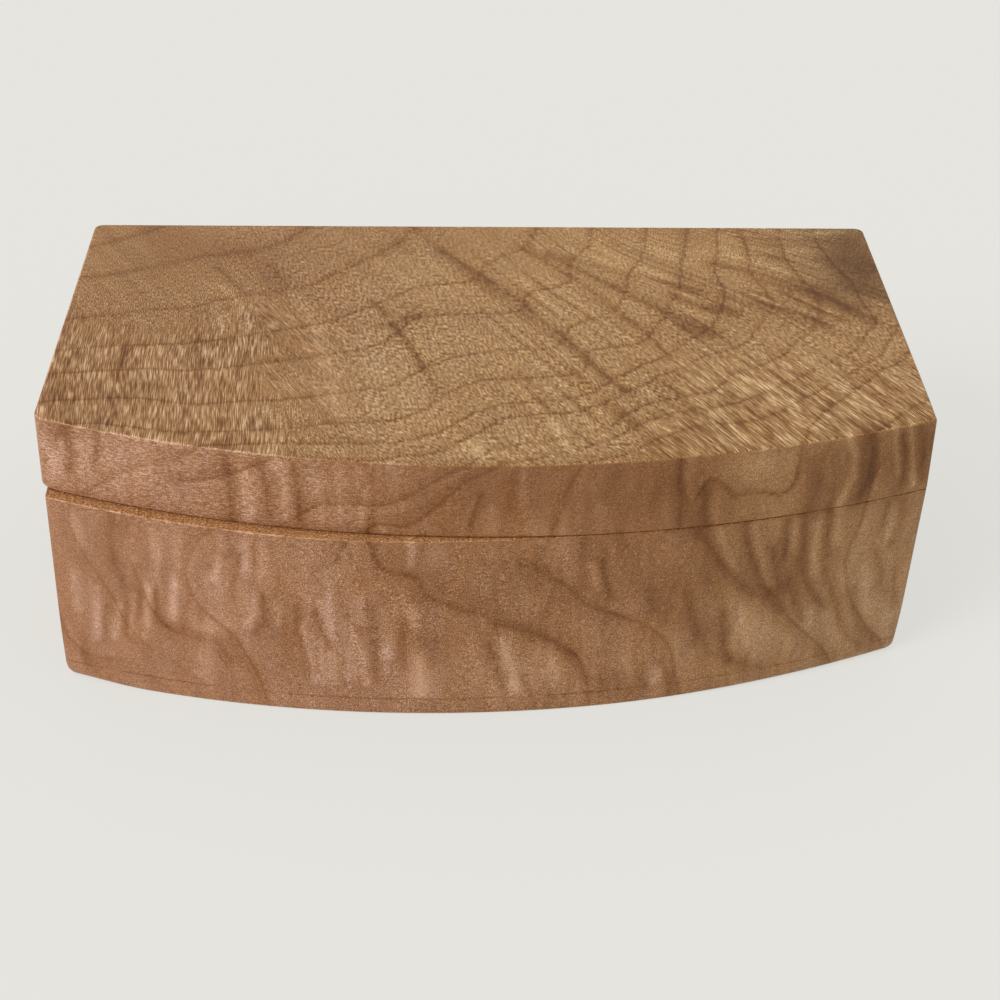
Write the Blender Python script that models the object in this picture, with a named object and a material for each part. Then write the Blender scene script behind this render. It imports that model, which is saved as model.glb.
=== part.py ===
"""Bow-fronted wooden trinket box, sawn from one block, with a hinged slab lid.

Metres, Z up, front towards -Y. The origin is on the surface that the box stands on,
in the middle of the box's footprint.
"""
import math

import bmesh
import bpy
from mathutils import Matrix, Vector

# The block
WIDTH = 0.1800
DEPTH_AT_ENDS = 0.0884
FRONT_BOW = 0.0181
HEIGHT = 0.0600
LID_THICKNESS = 0.0164
BOTTOM_SLICE = 0.0040

# The base was sanded by hand, so its outline strays a little from the lid's
LID_OVERHANG_LEFT = 0.0012
RIM_LEDGE = 0.0028
LEDGE_FADES_LEFT_OF_MIDDLE = 0.0400
LEDGE_ENDS_RIGHT_OF_MIDDLE = 0.0250
FOOT_IN_LEFT = 0.0016
FOOT_IN_RIGHT = 0.0010
FOOT_PROUD_LEFT = 0.0050
FOOT_SHY_RIGHT = 0.0036

# Walls of the well
SIDE_WALL = 0.0090
FRONT_WALL = 0.0090
WELL_ROUND = 0.0080

# Rounded edges
FRONT_CORNER_ROUND = 0.0012
BACK_CORNER_ROUND = 0.0020
LID_ARRIS = 0.0005
RIM_ARRIS = 0.0003
FOOT_ARRIS = 0.0010

# Lining
LINING_THICKNESS = 0.0015

# Butt hinges, set in a bevel that stops the lid
OPEN_LIMIT_DEG = 95.0
STOP_EASE_DEG = 1.0
AXIS_INSET = 0.0030
HINGE_LENGTH = 0.0250
HINGE_FROM_END = 0.0220
LEAF_REACH = 0.0080
LEAF_LAND = 0.0020
LEAF_THICKNESS = 0.0012
BARREL_RADIUS = 0.0019
PIN_RADIUS = 0.0008
PIN_PROUD = 0.0002
PIN_CHAMFER = 0.0003
KNUCKLES = 5

# Countersunk screws
SCREW_LENGTH = 0.0080
SCREW_RADIUS = 0.0010
SCREW_HEAD_RADIUS = 0.0018
SCREW_HEAD_DEPTH = 0.0010
SCREW_HEAD_EDGE = 0.0002
SCREW_POINT = 0.0016
SCREW_POINT_RADIUS = 0.0003
SCREW_SLOT_WIDTH = 0.0005
SCREW_SLOT_DEPTH = 0.0005
SCREW_FROM_LEAF_END = 0.0055
SCREW_SUNK = 0.0001

# Fits
SEAM_GAP = 0.0003
SEAT_CLEARANCE = 0.0003
SCREW_CLEARANCE = 0.00015
PIN_CLEARANCE = 0.00005
KNUCKLE_GAP = 0.0002
STOP_CLEARANCE = 0.0001
CUT_OVERRUN = 0.0020

# How finely curves are drawn
FRONT_STEPS = 28
CORNER_STEPS = 4
WELL_CORNER_STEPS = 8
ARRIS_STEPS = 2
ROUND_SIDES = 24
SMALL_SIDES = 16
SMOOTH_UNDER_DEG = 30.0
CORNER_LIMIT_SHARE = 0.9

# Heights and places that follow from the sizes
SEAM_Z = HEIGHT - LID_THICKNESS
RIM_Z = SEAM_Z - SEAM_GAP
AXIS_Z = SEAM_Z - SEAM_GAP / 2
BACK_WALL = AXIS_INSET + LEAF_REACH + LEAF_LAND
FRONT_RADIUS = (WIDTH * WIDTH / 4 + FRONT_BOW * FRONT_BOW) / (2 * FRONT_BOW)
FRONT_CENTRE = FRONT_RADIUS - FRONT_BOW


def clear_scene():
    """Start from an empty scene."""
    for existing in list(bpy.data.objects):
        bpy.data.objects.remove(existing, do_unlink=True)


# Outlines, seen from above, with y zero at the lid's front corners

def bow(x, wall):
    """The front's circle at x, moved inward by wall."""
    radius = FRONT_RADIUS - wall
    return FRONT_CENTRE - math.sqrt(radius * radius - x * x)


def lid_front(x):
    return bow(x, 0)


def well_front(x):
    return bow(x, FRONT_WALL)


def rim_front(x):
    """The base's front at its rim: proud of the lid at the left, and flush at the right."""
    fade = (x + LEDGE_FADES_LEFT_OF_MIDDLE) / (LEDGE_FADES_LEFT_OF_MIDDLE + LEDGE_ENDS_RIGHT_OF_MIDDLE)
    fade = min(max(fade, 0), 1)
    return bow(x, 0) - RIM_LEDGE * (1 - fade * fade * (3 - 2 * fade))


def foot_front(x):
    """The base's front at the bottom: it leans out at the left and in at the right."""
    across = x / WIDTH + 1 / 2
    return bow(x, 0) - FOOT_PROUD_LEFT * (1 - across) + FOOT_SHY_RIGHT * across


def corner_arc(before, corner, after, radius, steps):
    """Points that round off a corner between two straight stretches."""
    to_before = before - corner
    to_after = after - corner
    half_angle = to_before.angle(to_after) / 2
    room = min(to_before.length, to_after.length) * CORNER_LIMIT_SHARE
    reach = min(radius / math.tan(half_angle), room)
    radius = reach * math.tan(half_angle)
    middle = (to_before.normalized() + to_after.normalized()).normalized()
    centre = corner + middle * (radius / math.sin(half_angle))
    start = corner + to_before.normalized() * reach - centre
    sweep = math.pi - 2 * half_angle
    return [centre + Matrix.Rotation(sweep * step / steps, 2) @ start for step in range(steps + 1)]


def outline(left, right, back, front, front_round, back_round, steps):
    """Counter-clockwise plan: a curved front, straight sides and back, rounded corners."""
    corners = []
    for step in range(FRONT_STEPS + 1):
        x = left + (right - left) * step / FRONT_STEPS
        corners.append(Vector((x, front(x))))
    corners += [Vector((right, back)), Vector((left, back))]
    rounds = {0: front_round, FRONT_STEPS: front_round,
              FRONT_STEPS + 1: back_round, FRONT_STEPS + 2: back_round}
    points = []
    for index, corner in enumerate(corners):
        if index in rounds:
            after = corners[(index + 1) % len(corners)]
            points += corner_arc(corners[index - 1], corner, after, rounds[index], steps)
        else:
            points.append(corner)
    return points


def inset(points, distance):
    """The outline moved inward, square to its own edges."""
    moved = []
    for index, here in enumerate(points):
        before = (here - points[index - 1]).normalized()
        after = (points[(index + 1) % len(points)] - here).normalized()
        inward = Vector((-before.y - after.y, before.x + after.x)).normalized()
        lean = inward.dot(Vector((-before.y, before.x)))
        moved.append(here + inward * (distance / lean))
    return moved


LID_PLAN = outline(-WIDTH / 2, WIDTH / 2, DEPTH_AT_ENDS, lid_front,
                   FRONT_CORNER_ROUND, BACK_CORNER_ROUND, CORNER_STEPS)
RIM_PLAN = outline(-WIDTH / 2 + LID_OVERHANG_LEFT, WIDTH / 2, DEPTH_AT_ENDS, rim_front,
                   FRONT_CORNER_ROUND, BACK_CORNER_ROUND, CORNER_STEPS)
FOOT_PLAN = outline(-WIDTH / 2 + FOOT_IN_LEFT, WIDTH / 2 - FOOT_IN_RIGHT, DEPTH_AT_ENDS, foot_front,
                    FRONT_CORNER_ROUND, BACK_CORNER_ROUND, CORNER_STEPS)
WELL_PLAN = outline(-WIDTH / 2 + LID_OVERHANG_LEFT + SIDE_WALL, WIDTH / 2 - SIDE_WALL,
                    DEPTH_AT_ENDS - BACK_WALL, well_front, WELL_ROUND, WELL_ROUND, WELL_CORNER_STEPS)

# The footprint's middle, in the outlines' own y
FRONT_MOST = min(point.y for point in LID_PLAN + RIM_PLAN + FOOT_PLAN)
MIDDLE_Y = (DEPTH_AT_ENDS + FRONT_MOST) / 2
AXIS_Y = DEPTH_AT_ENDS - AXIS_INSET - MIDDLE_Y
BACK_Y = DEPTH_AT_ENDS - MIDDLE_Y


def base_plan(z):
    """The base's outline at height z, leaning straight from the foot to the rim."""
    share = z / RIM_Z
    return [foot.lerp(rim, share) for foot, rim in zip(FOOT_PLAN, RIM_PLAN)]


def lid_plan(z):
    return LID_PLAN


def well_plan(z):
    return WELL_PLAN


def lining_plan(z):
    return inset(WELL_PLAN, SEAT_CLEARANCE)


# Meshes

def finish(work, name):
    """Turn a bmesh into a smooth-shaded mesh with its faces pointing out."""
    bmesh.ops.recalc_face_normals(work, faces=work.faces)
    mesh = bpy.data.meshes.new(name)
    work.to_mesh(mesh)
    work.free()
    mesh.shade_smooth()
    mesh.set_sharp_from_angle(angle=math.radians(SMOOTH_UNDER_DEG))
    return mesh


def stack(rings, name):
    """Closed solid through rings of points that all have the same count."""
    work = bmesh.new()
    loops = [[work.verts.new(point) for point in ring] for ring in rings]
    for low, high in zip(loops, loops[1:]):
        for index in range(len(low)):
            after = (index + 1) % len(low)
            work.faces.new((low[index], low[after], high[after], high[index]))
    work.faces.new(list(reversed(loops[0])))
    work.faces.new(loops[-1])
    return finish(work, name)


def slab(plan, low, high, low_arris, high_arris, name):
    """Solid between two heights on a plan, with its two arrises rounded."""
    levels = [(low, 0)]
    if low_arris:
        turns = [math.pi / 2 * step / ARRIS_STEPS for step in range(ARRIS_STEPS + 1)]
        levels = [(low + low_arris * (1 - math.cos(turn)), low_arris * (1 - math.sin(turn))) for turn in turns]
    if high_arris:
        turns = [math.pi / 2 * step / ARRIS_STEPS for step in range(ARRIS_STEPS, -1, -1)]
        levels += [(high - high_arris * (1 - math.cos(turn)), high_arris * (1 - math.sin(turn))) for turn in turns]
    else:
        levels.append((high, 0))
    rings = []
    for z, inward in levels:
        points = inset(plan(z), inward) if inward else plan(z)
        rings.append([(point.x, point.y - MIDDLE_Y, z) for point in points])
    return stack(rings, name)


def box(low, high, name):
    """Rectangular solid between two opposite corners."""
    ring = [(low[0], low[1]), (high[0], low[1]), (high[0], high[1]), (low[0], high[1])]
    return stack([[(x, y, z) for x, y in ring] for z in (low[2], high[2])], name)


def turned(profile, sides, name):
    """Solid of revolution about Z through pairs of radius and height."""
    rings = []
    for radius, z in profile:
        turns = [2 * math.pi * (side + 1 / 2) / sides for side in range(sides)]
        rings.append([(radius * math.cos(turn), radius * math.sin(turn), z) for turn in turns])
    return stack(rings, name)


def rod(radius, start, end, sides, name):
    """Round rod along X."""
    mesh = turned([(radius, start), (radius, end)], sides, name)
    mesh.transform(Matrix.Rotation(math.pi / 2, 4, 'Y'))
    return mesh


def prism_along_x(profile, half_length, name):
    """Solid with a profile of y, z pairs, the same all along X."""
    return stack([[(x, y, z) for y, z in profile] for x in (-half_length, half_length)], name)


def combine(mesh, others, operation, name):
    """The mesh with each of the others joined to it or cut from it."""
    body = bpy.data.objects.new(name, mesh)
    bpy.context.scene.collection.objects.link(body)
    tools = []
    for index, other in enumerate(others):
        tool = bpy.data.objects.new(f"{name}_tool_{index}", other)
        bpy.context.scene.collection.objects.link(tool)
        modifier = body.modifiers.new(operation.lower(), 'BOOLEAN')
        modifier.operation = operation
        modifier.solver = 'EXACT'
        modifier.object = tool
        tools.append(tool)
    bpy.context.view_layer.update()
    evaluated = body.evaluated_get(bpy.context.evaluated_depsgraph_get())
    result = bpy.data.meshes.new_from_object(evaluated)
    for used in [body] + tools:
        bpy.data.objects.remove(used, do_unlink=True)
    result.name = name
    result.shade_smooth()
    result.set_sharp_from_angle(angle=math.radians(SMOOTH_UNDER_DEG))
    return result


def moved(mesh, offset):
    """A copy of the mesh, moved."""
    copy = mesh.copy()
    copy.transform(Matrix.Translation(offset))
    return copy


# Materials

def material(name, colour, roughness, metallic):
    made = bpy.data.materials.new(name)
    made.use_nodes = True
    shader = made.node_tree.nodes["Principled BSDF"]
    shader.inputs["Base Color"].default_value = (*colour, 1)
    shader.inputs["Roughness"].default_value = roughness
    shader.inputs["Metallic"].default_value = metallic
    made.diffuse_color = (*colour, 1)
    return made


def place(name, mesh, look, parent, location):
    """Add one named piece to the scene, at a place in its parent's own frame."""
    piece = bpy.data.objects.new(name, mesh)
    bpy.context.scene.collection.objects.link(piece)
    piece.parent = parent
    piece.location = location
    piece.data.materials.clear()
    piece.data.materials.append(look)
    return piece


def anchor(name, location):
    """Empty that carries a group of pieces."""
    empty = bpy.data.objects.new(name, None)
    bpy.context.scene.collection.objects.link(empty)
    empty.location = location
    return empty


# Hinges, in their own frame: the axis runs along X through the origin, and the leaves reach to -Y

def hinge_centres():
    """Middle of each hinge along the box's width, by side."""
    across = WIDTH / 2 - HINGE_FROM_END - HINGE_LENGTH / 2
    return {"left": -across, "right": across}


def screw_places():
    """Screw centres in the hinge's frame, by number."""
    along = HINGE_LENGTH / 2 - SCREW_FROM_LEAF_END
    back_edge = BARREL_RADIUS + SEAT_CLEARANCE
    return {1: Vector((-along, -(LEAF_REACH + back_edge) / 2, 0)),
            2: Vector((along, -(LEAF_REACH + back_edge) / 2, 0))}


def knuckle_span(index):
    """Start and end of one knuckle along the axis, less the gap to its neighbours."""
    start = -HINGE_LENGTH / 2 + HINGE_LENGTH * index / KNUCKLES
    end = start + HINGE_LENGTH / KNUCKLES
    if index > 0:
        start += KNUCKLE_GAP / 2
    if index < KNUCKLES - 1:
        end -= KNUCKLE_GAP / 2
    return start, end


def leaf_mesh(side, first_knuckle):
    """A leaf with every second knuckle; side is -1 for the base's leaf and 1 for the lid's."""
    own = range(first_knuckle, KNUCKLES, 2)
    clear = -(BARREL_RADIUS + SEAT_CLEARANCE)
    comb = [(-HINGE_LENGTH / 2, -LEAF_REACH), (HINGE_LENGTH / 2, -LEAF_REACH)]
    if KNUCKLES - 1 not in own:
        comb.append((HINGE_LENGTH / 2, clear))
    for index in reversed(own):
        start, end = knuckle_span(index)
        if index < KNUCKLES - 1:
            comb.append((end, clear))
        comb += [(end, 0), (start, 0)]
        if index > 0:
            comb.append((start, clear))
    if 0 not in own:
        comb.append((-HINGE_LENGTH / 2, clear))
    inner = side * SEAM_GAP / 2
    outer = side * (SEAM_GAP / 2 + LEAF_THICKNESS)
    plate = stack([[(x, y, z) for x, y in comb] for z in (min(inner, outer), max(inner, outer))], "leaf_plate")
    barrels = [rod(BARREL_RADIUS, *knuckle_span(index), ROUND_SIDES, "barrel") for index in own]
    whole = combine(plate, barrels, 'UNION', "leaf_blank")
    bore = rod(PIN_RADIUS + PIN_CLEARANCE, -HINGE_LENGTH, HINGE_LENGTH, SMALL_SIDES, "bore")
    sinks = [moved(countersink_mesh(side), at) for at in screw_places().values()]
    name = "base_leaf" if side < 0 else "lid_leaf"
    return combine(whole, [bore] + sinks, 'DIFFERENCE', name)


def screw_profile(clearance):
    """Radius and height from the point to the head's flat top, which is at height zero."""
    return [(SCREW_POINT_RADIUS + clearance, -SCREW_LENGTH - clearance),
            (SCREW_RADIUS + clearance, -SCREW_LENGTH + SCREW_POINT),
            (SCREW_RADIUS + clearance, -SCREW_HEAD_DEPTH),
            (SCREW_HEAD_RADIUS + clearance, -SCREW_HEAD_EDGE)]


def facing(mesh, side):
    """Turn a screw-shaped solid so that its head faces away from its wood, on the leaf's inner face."""
    if side > 0:
        mesh.transform(Matrix.Rotation(math.pi, 4, 'X'))
    mesh.transform(Matrix.Translation((0, 0, side * (SEAM_GAP / 2 + SCREW_SUNK))))
    return mesh


def countersink_mesh(side):
    profile = screw_profile(SCREW_CLEARANCE) + [(SCREW_HEAD_RADIUS + SCREW_CLEARANCE, SCREW_SUNK + CUT_OVERRUN)]
    return facing(turned(profile, SMALL_SIDES, "countersink"), side)


def screw_mesh(side):
    profile = screw_profile(0) + [(SCREW_HEAD_RADIUS, 0)]
    blank = turned(profile, SMALL_SIDES, "screw_blank")
    across = SCREW_HEAD_RADIUS + CUT_OVERRUN
    slot = box((-across, -SCREW_SLOT_WIDTH / 2, -SCREW_SLOT_DEPTH),
               (across, SCREW_SLOT_WIDTH / 2, CUT_OVERRUN), "slot")
    name = "base_screw" if side < 0 else "lid_screw"
    return facing(combine(blank, [slot], 'DIFFERENCE', name), side)


def pin_mesh():
    half = HINGE_LENGTH / 2 + PIN_PROUD
    profile = [(PIN_RADIUS - PIN_CHAMFER, -half), (PIN_RADIUS, -half + PIN_CHAMFER),
               (PIN_RADIUS, half - PIN_CHAMFER), (PIN_RADIUS - PIN_CHAMFER, half)]
    mesh = turned(profile, SMALL_SIDES, "pin")
    mesh.transform(Matrix.Rotation(math.pi / 2, 4, 'Y'))
    return mesh


# Cuts that the hinges and the stop need in the wood, in the box's frame

def hinge_cuts():
    """Recess for the leaves, groove for the barrel and pilot holes, for both hinges."""
    cuts = []
    deep = SEAM_GAP / 2 + LEAF_THICKNESS + SEAT_CLEARANCE
    half = HINGE_LENGTH / 2 + SEAT_CLEARANCE
    drill = SCREW_LENGTH + SCREW_SUNK + SEAT_CLEARANCE
    for across in hinge_centres().values():
        centre = Vector((across, AXIS_Y, AXIS_Z))
        recess = box((-half, -LEAF_REACH - SEAT_CLEARANCE, -deep), (half, 0, deep), "recess")
        groove = rod(BARREL_RADIUS + SEAT_CLEARANCE, -half, half, ROUND_SIDES, "groove")
        cuts += [moved(recess, centre), moved(groove, centre)]
        for at in screw_places().values():
            pilot = turned([(SCREW_RADIUS + SCREW_CLEARANCE, -drill), (SCREW_RADIUS + SCREW_CLEARANCE, drill)],
                           SMALL_SIDES, "pilot")
            cuts.append(moved(pilot, centre + at))
    return cuts


def stop_bevel(side):
    """Wedge behind the axis; its slope meets the other piece's slope when the lid is open."""
    slope = math.tan(math.radians(OPEN_LIMIT_DEG / 2 + STOP_EASE_DEG))
    near = AXIS_Z + side * STOP_CLEARANCE
    past = BACK_Y + CUT_OVERRUN
    level = near - side * CUT_OVERRUN
    profile = [(AXIS_Y - CUT_OVERRUN / slope, level), (past, level), (past, near + side * (past - AXIS_Y) * slope)]
    if side > 0:
        profile.reverse()
    return prism_along_x(profile, WIDTH / 2 + CUT_OVERRUN, "stop_bevel")


# The pieces

def make_base(wood, felt):
    blank = slab(base_plan, BOTTOM_SLICE + SEAT_CLEARANCE, RIM_Z, 0, RIM_ARRIS, "base_blank")
    well = slab(well_plan, BOTTOM_SLICE - CUT_OVERRUN, RIM_Z + CUT_OVERRUN, 0, 0, "well")
    cuts = [well, stop_bevel(-1)] + hinge_cuts()
    place("base_body", combine(blank, cuts, 'DIFFERENCE', "base_body"), wood, None, (0, 0, 0))
    foot = slab(base_plan, 0, BOTTOM_SLICE, FOOT_ARRIS, 0, "base_bottom")
    place("base_bottom", foot, wood, None, (0, 0, 0))
    floor = BOTTOM_SLICE + SEAT_CLEARANCE
    lining = slab(lining_plan, floor, floor + LINING_THICKNESS, 0, 0, "base_lining")
    place("base_lining", lining, felt, None, (0, 0, 0))


def make_lid(wood, pivot):
    blank = slab(lid_plan, SEAM_Z, HEIGHT, LID_ARRIS, LID_ARRIS, "lid_blank")
    cuts = [stop_bevel(1)] + hinge_cuts()
    place("lid_block", combine(blank, cuts, 'DIFFERENCE', "lid_block"), wood, pivot, -pivot.location)


def make_hinges(brass, screw_brass, pivot):
    base_leaf = leaf_mesh(-1, 0)
    lid_leaf = leaf_mesh(1, 1)
    base_screw = screw_mesh(-1)
    lid_screw = screw_mesh(1)
    pin = pin_mesh()
    for side, across in hinge_centres().items():
        on_base = Vector((across, AXIS_Y, AXIS_Z))
        on_lid = Vector((across, 0, 0))
        place(f"hinge_{side}_base_leaf", base_leaf, brass, None, on_base)
        place(f"hinge_{side}_lid_leaf", lid_leaf, brass, pivot, on_lid)
        place(f"hinge_{side}_pin", pin, brass, None, on_base)
        for number, at in screw_places().items():
            place(f"hinge_{side}_base_screw_{number}", base_screw, screw_brass, None, on_base + at)
            place(f"hinge_{side}_lid_screw_{number}", lid_screw, screw_brass, pivot, on_lid + at)


def main():
    clear_scene()
    wood = material("figured_wood", (0.36, 0.20, 0.10), 0.45, 0)
    felt = material("felt", (0.10, 0.03, 0.02), 0.95, 0)
    brass = material("brass", (0.72, 0.52, 0.22), 0.30, 1)
    screw_brass = material("screw_brass", (0.66, 0.48, 0.20), 0.35, 1)
    pivot = anchor("lid_pivot", (0, AXIS_Y, AXIS_Z))
    make_base(wood, felt)
    make_lid(wood, pivot)
    make_hinges(brass, screw_brass, pivot)
    bpy.context.view_layer.update()


main()
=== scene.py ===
"""Looks of a bow-fronted trinket box, sawn from one block of figured wood.

The box's own sizes are in millimetres here and become metres where a mesh is made.
In plan, y is counted from the line through the lid's front corners.
"""
import math

import bpy
import numpy as np
from mathutils import Matrix, Vector


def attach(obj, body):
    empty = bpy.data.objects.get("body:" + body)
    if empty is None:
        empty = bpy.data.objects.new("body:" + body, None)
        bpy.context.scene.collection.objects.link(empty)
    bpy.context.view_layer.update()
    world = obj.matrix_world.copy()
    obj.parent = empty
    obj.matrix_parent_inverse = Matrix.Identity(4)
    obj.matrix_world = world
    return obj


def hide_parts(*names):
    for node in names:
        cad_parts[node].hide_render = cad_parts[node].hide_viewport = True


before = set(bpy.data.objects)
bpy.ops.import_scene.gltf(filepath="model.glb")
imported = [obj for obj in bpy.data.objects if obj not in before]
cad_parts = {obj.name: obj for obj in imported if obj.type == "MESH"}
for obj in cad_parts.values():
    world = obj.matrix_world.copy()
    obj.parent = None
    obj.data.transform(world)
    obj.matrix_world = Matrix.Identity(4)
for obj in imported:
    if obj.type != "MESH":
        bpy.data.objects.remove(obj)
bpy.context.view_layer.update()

MM = 0.001
PLAN_TO_MIDDLE = -34.461

# The block and its cuts
WIDTH = 180.0
DEPTH_AT_ENDS = 88.4
FRONT_BOW = 18.1
TOP_Z = 60.0
SEAM_Z = 43.6
RIM_Z = 43.3
GLUE_Z = 4.0
FRONT_RADIUS = (WIDTH ** 2 / 4 + FRONT_BOW ** 2) / (2 * FRONT_BOW)
LID_ARRIS = 0.5
RIM_ARRIS = 0.3
FOOT_ARRIS = 0.9
FRONT_CORNER = 1.2
LID_LEFT_CORNER = 3.0
LID_RIGHT_CORNER = 0.9
FOOT_CORNER = 3.2
BACK_CORNER = 2.0
HAND_WAVE = 0.05
LID_LOWERED = 0.21
LID_LOWERED_RIGHT = 0.05

# Where the base strays from the lid
LEFT_IN_AT_RIM = 1.2
LEFT_IN_AT_FOOT = 1.6
RIGHT_IN_AT_FOOT = 1.0
LEDGE = 2.8
LEDGE_FADES_FROM = -40.0
LEDGE_ENDS_AT = 25.0
FOOT_PROUD_LEFT = 5.0
FOOT_SHY_RIGHT = 3.6

# Well, felt, hinges and stop
WELL_LEFT = -79.8
WELL_RIGHT = 81.0
WELL_BACK = 75.4
FRONT_WALL = 9.0
WELL_CORNER = 8.0
WELL_ARRIS = 0.5
LINING_GAP = 0.3
LINING_LOW_Z = GLUE_Z + 0.02
LINING_TOP_Z = GLUE_Z + 1.75
LINING_ROUND = 0.45
AXIS_Y = 50.939
AXIS_Z = 43.45
BACK_Y = DEPTH_AT_ENDS + PLAN_TO_MIDDLE
HINGE_X = 55.5
RECESS_HALF = 12.8
RECESS_REACH = 8.3
RECESS_DEEP = 1.65
BARREL_GROOVE = 2.2
PILOT_RADIUS = 1.15
PILOT_DEEP = 8.4
SCREW_X = 7.0
SCREW_Y = -5.1
STOP_SLOPE = math.tan(math.radians(48.5))
STOP_EASE = 0.1
OVERRUN = 2.0

# How finely the wood is divided
STEP = 0.68
COARSE = 1.5
CORNER_PARTS = 5
ARRIS_PARTS = 4
SMOOTH_UNDER = math.radians(30)

# Growth rings: level, then the points that its ring passes on the top (x, y)
TOP_RINGS = {
    0: ((-90, 76), (-80, 82.5), (-73, 88)),
    1: ((-90, 60), (-81, 63), (-73, 66.5), (-64, 71), (-54, 74), (-46, 79), (-40, 88)),
    2: ((-90, 41), (-80, 43.3), (-70, 45.7), (-63, 47), (-58, 50), (-50, 53), (-40, 56.5), (-34, 62),
        (-28, 69), (-22, 75), (-15, 88)),
    3: ((-90, 27), (-80, 29), (-67, 30), (-55, 32.5), (-44, 36.5), (-34, 40), (-27, 45.5), (-21, 50.5),
        (-14, 57), (-8, 58.8), (-2, 60.2), (0, 66), (6, 73.5), (10.5, 78), (13, 88)),
    4: ((-90, 17), (-80, 18.5), (-71, 19.5), (-60, 19), (-50, 21), (-41, 23.5), (-33, 26), (-25, 28.5),
        (-19, 34), (-16, 41), (-10, 43.5), (0, 44.5), (8, 46), (10, 54), (19, 59.8), (20.3, 70), (25, 79),
        (26, 88)),
    5: ((-90, 5.5), (-79, 7), (-70, 7.4), (-61, 5.2), (-50, 6.3), (-36, 8), (-26, 11), (-19, 13), (-12, 21),
        (-3, 26), (9, 28.3), (16, 30), (18.5, 38.5), (27, 45), (31, 53), (32.5, 62), (36.5, 72), (39, 88)),
    6: ((-79, -2.3), (-66, -4.5), (-60, -6), (-50, -5.5), (-40, -4.3), (-32, -2.4), (-20, -1.2), (-14, 2),
        (-9, 9), (0, 15.5), (12, 16.4), (20, 19.5), (22, 27), (33, 31.5), (37, 39), (41, 49), (44, 58),
        (45.5, 70), (48.5, 88)),
    7: ((-56, -11), (-35, -10), (-18, -9.5), (-8, -4), (0, 3.5), (9, 6), (20, 9.3), (29, 18), (37, 25),
        (46, 35), (51, 44), (53.5, 57), (52.5, 66), (54.5, 77), (55.5, 88)),
    8: ((-38, -14.7), (-17, -14.5), (-6, -9.5), (3, 0), (12, 1.5), (22, 5), (29, 11), (36, 17.5), (45, 25),
        (54, 30.3), (60, 41), (63.5, 50), (60.8, 63), (60.5, 88)),
    9: ((-4, -17.5), (5, -10.5), (13, -8.3), (24, -3.5), (30, 3.5), (38, 8), (46, 11), (51, 18), (58, 22),
        (66, 31.5), (72.5, 43), (74, 53), (71.5, 62), (70.5, 88)),
    10: ((2, -17.9), (16, -12), (27, -5), (36, 1.5), (49, 5.5), (57.5, 11), (67, 18.5), (78, 28), (85, 42),
         (83, 58), (79, 74), (78.5, 88)),
    11: ((19, -16.9), (30, -11), (43, -2.5), (57, 1.5), (66, 9.5), (74, 17), (83, 26), (88, 36), (90, 48)),
    12: ((61.5, -9.6), (64, -3), (69, 4.5), (76, 12.5), (82, 19.5), (90, 30)),
    13: ((78, -4), (83, 1.8), (90, 8)),
}

# The same rings on the bowed front (x, z)
FRONT_RINGS = {
    6: ((-88.5, 34), (-87, 25), (-84, 14.5), (-80.5, 9.3), (-71, 8.8), (-65, 4.3), (-60, 1)),
    7: ((-59, 57.5), (-68, 53.5), (-74, 50), (-81, 43.5), (-82, 38), (-77, 29), (-73, 22), (-69, 13),
        (-62, 9), (-56, 3)),
    8: ((-43, 58.5), (-50, 55), (-59, 52), (-66, 49.5), (-67, 43.5), (-70, 36), (-67, 23), (-62, 17.8),
        (-55, 16.5), (-51, 10), (-49, 2)),
    9: ((-8, 58), (-15, 53), (-22, 50.3), (-33, 49.5), (-38, 46), (-50, 38), (-56.5, 31.5), (-53, 21),
        (-47.5, 13), (-44, 2)),
    10: ((-4, 57), (-11, 50), (-22, 46), (-24, 42), (-22, 37.3), (-15, 35.3), (-12, 30), (-3, 26), (5, 23),
         (12, 19), (18, 14), (20.5, 6), (21, 1)),
    11: ((15.5, 55), (12.5, 48), (11, 43), (9.5, 38), (14, 33), (20.5, 26), (30, 21), (36, 15), (38, 6),
         (39, 1)),
    12: ((61, 55), (59.5, 50), (53, 50.2), (48, 50), (44, 54.5), (41.5, 50), (42, 43), (46, 35), (51, 28),
         (58, 23), (62, 16), (68, 9), (73, 2)),
    13: ((80, 57), (77, 48), (76, 40), (73, 30), (75, 18), (80, 8), (84, 2)),
}

# Guides for the sides, the back and the foot (x, y, z), so that the rings run on there
HIDDEN_RINGS = {
    1: ((-90, 85, 0), (-60, 88, 0)), 2: ((-90, 68, 0), (-35, 88, 0)), 3: ((-90, 52, 0), (-8, 88, 0)),
    4: ((-90, 40, 0), (8, 88, 0)), 5: ((-90, 27, 0), (22, 88, 0)), 6: ((34, 88, 0),),
    7: ((44, 88, 0), (0, 45, 0)), 8: ((55, 88, 0),), 9: ((66, 88, 0),), 10: ((78, 88, 0), (40, 40, 0)),
    11: ((90, 70, 0),), 12: ((90, 45, 0),), 12.6: ((90, 20, 0),),
}

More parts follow.
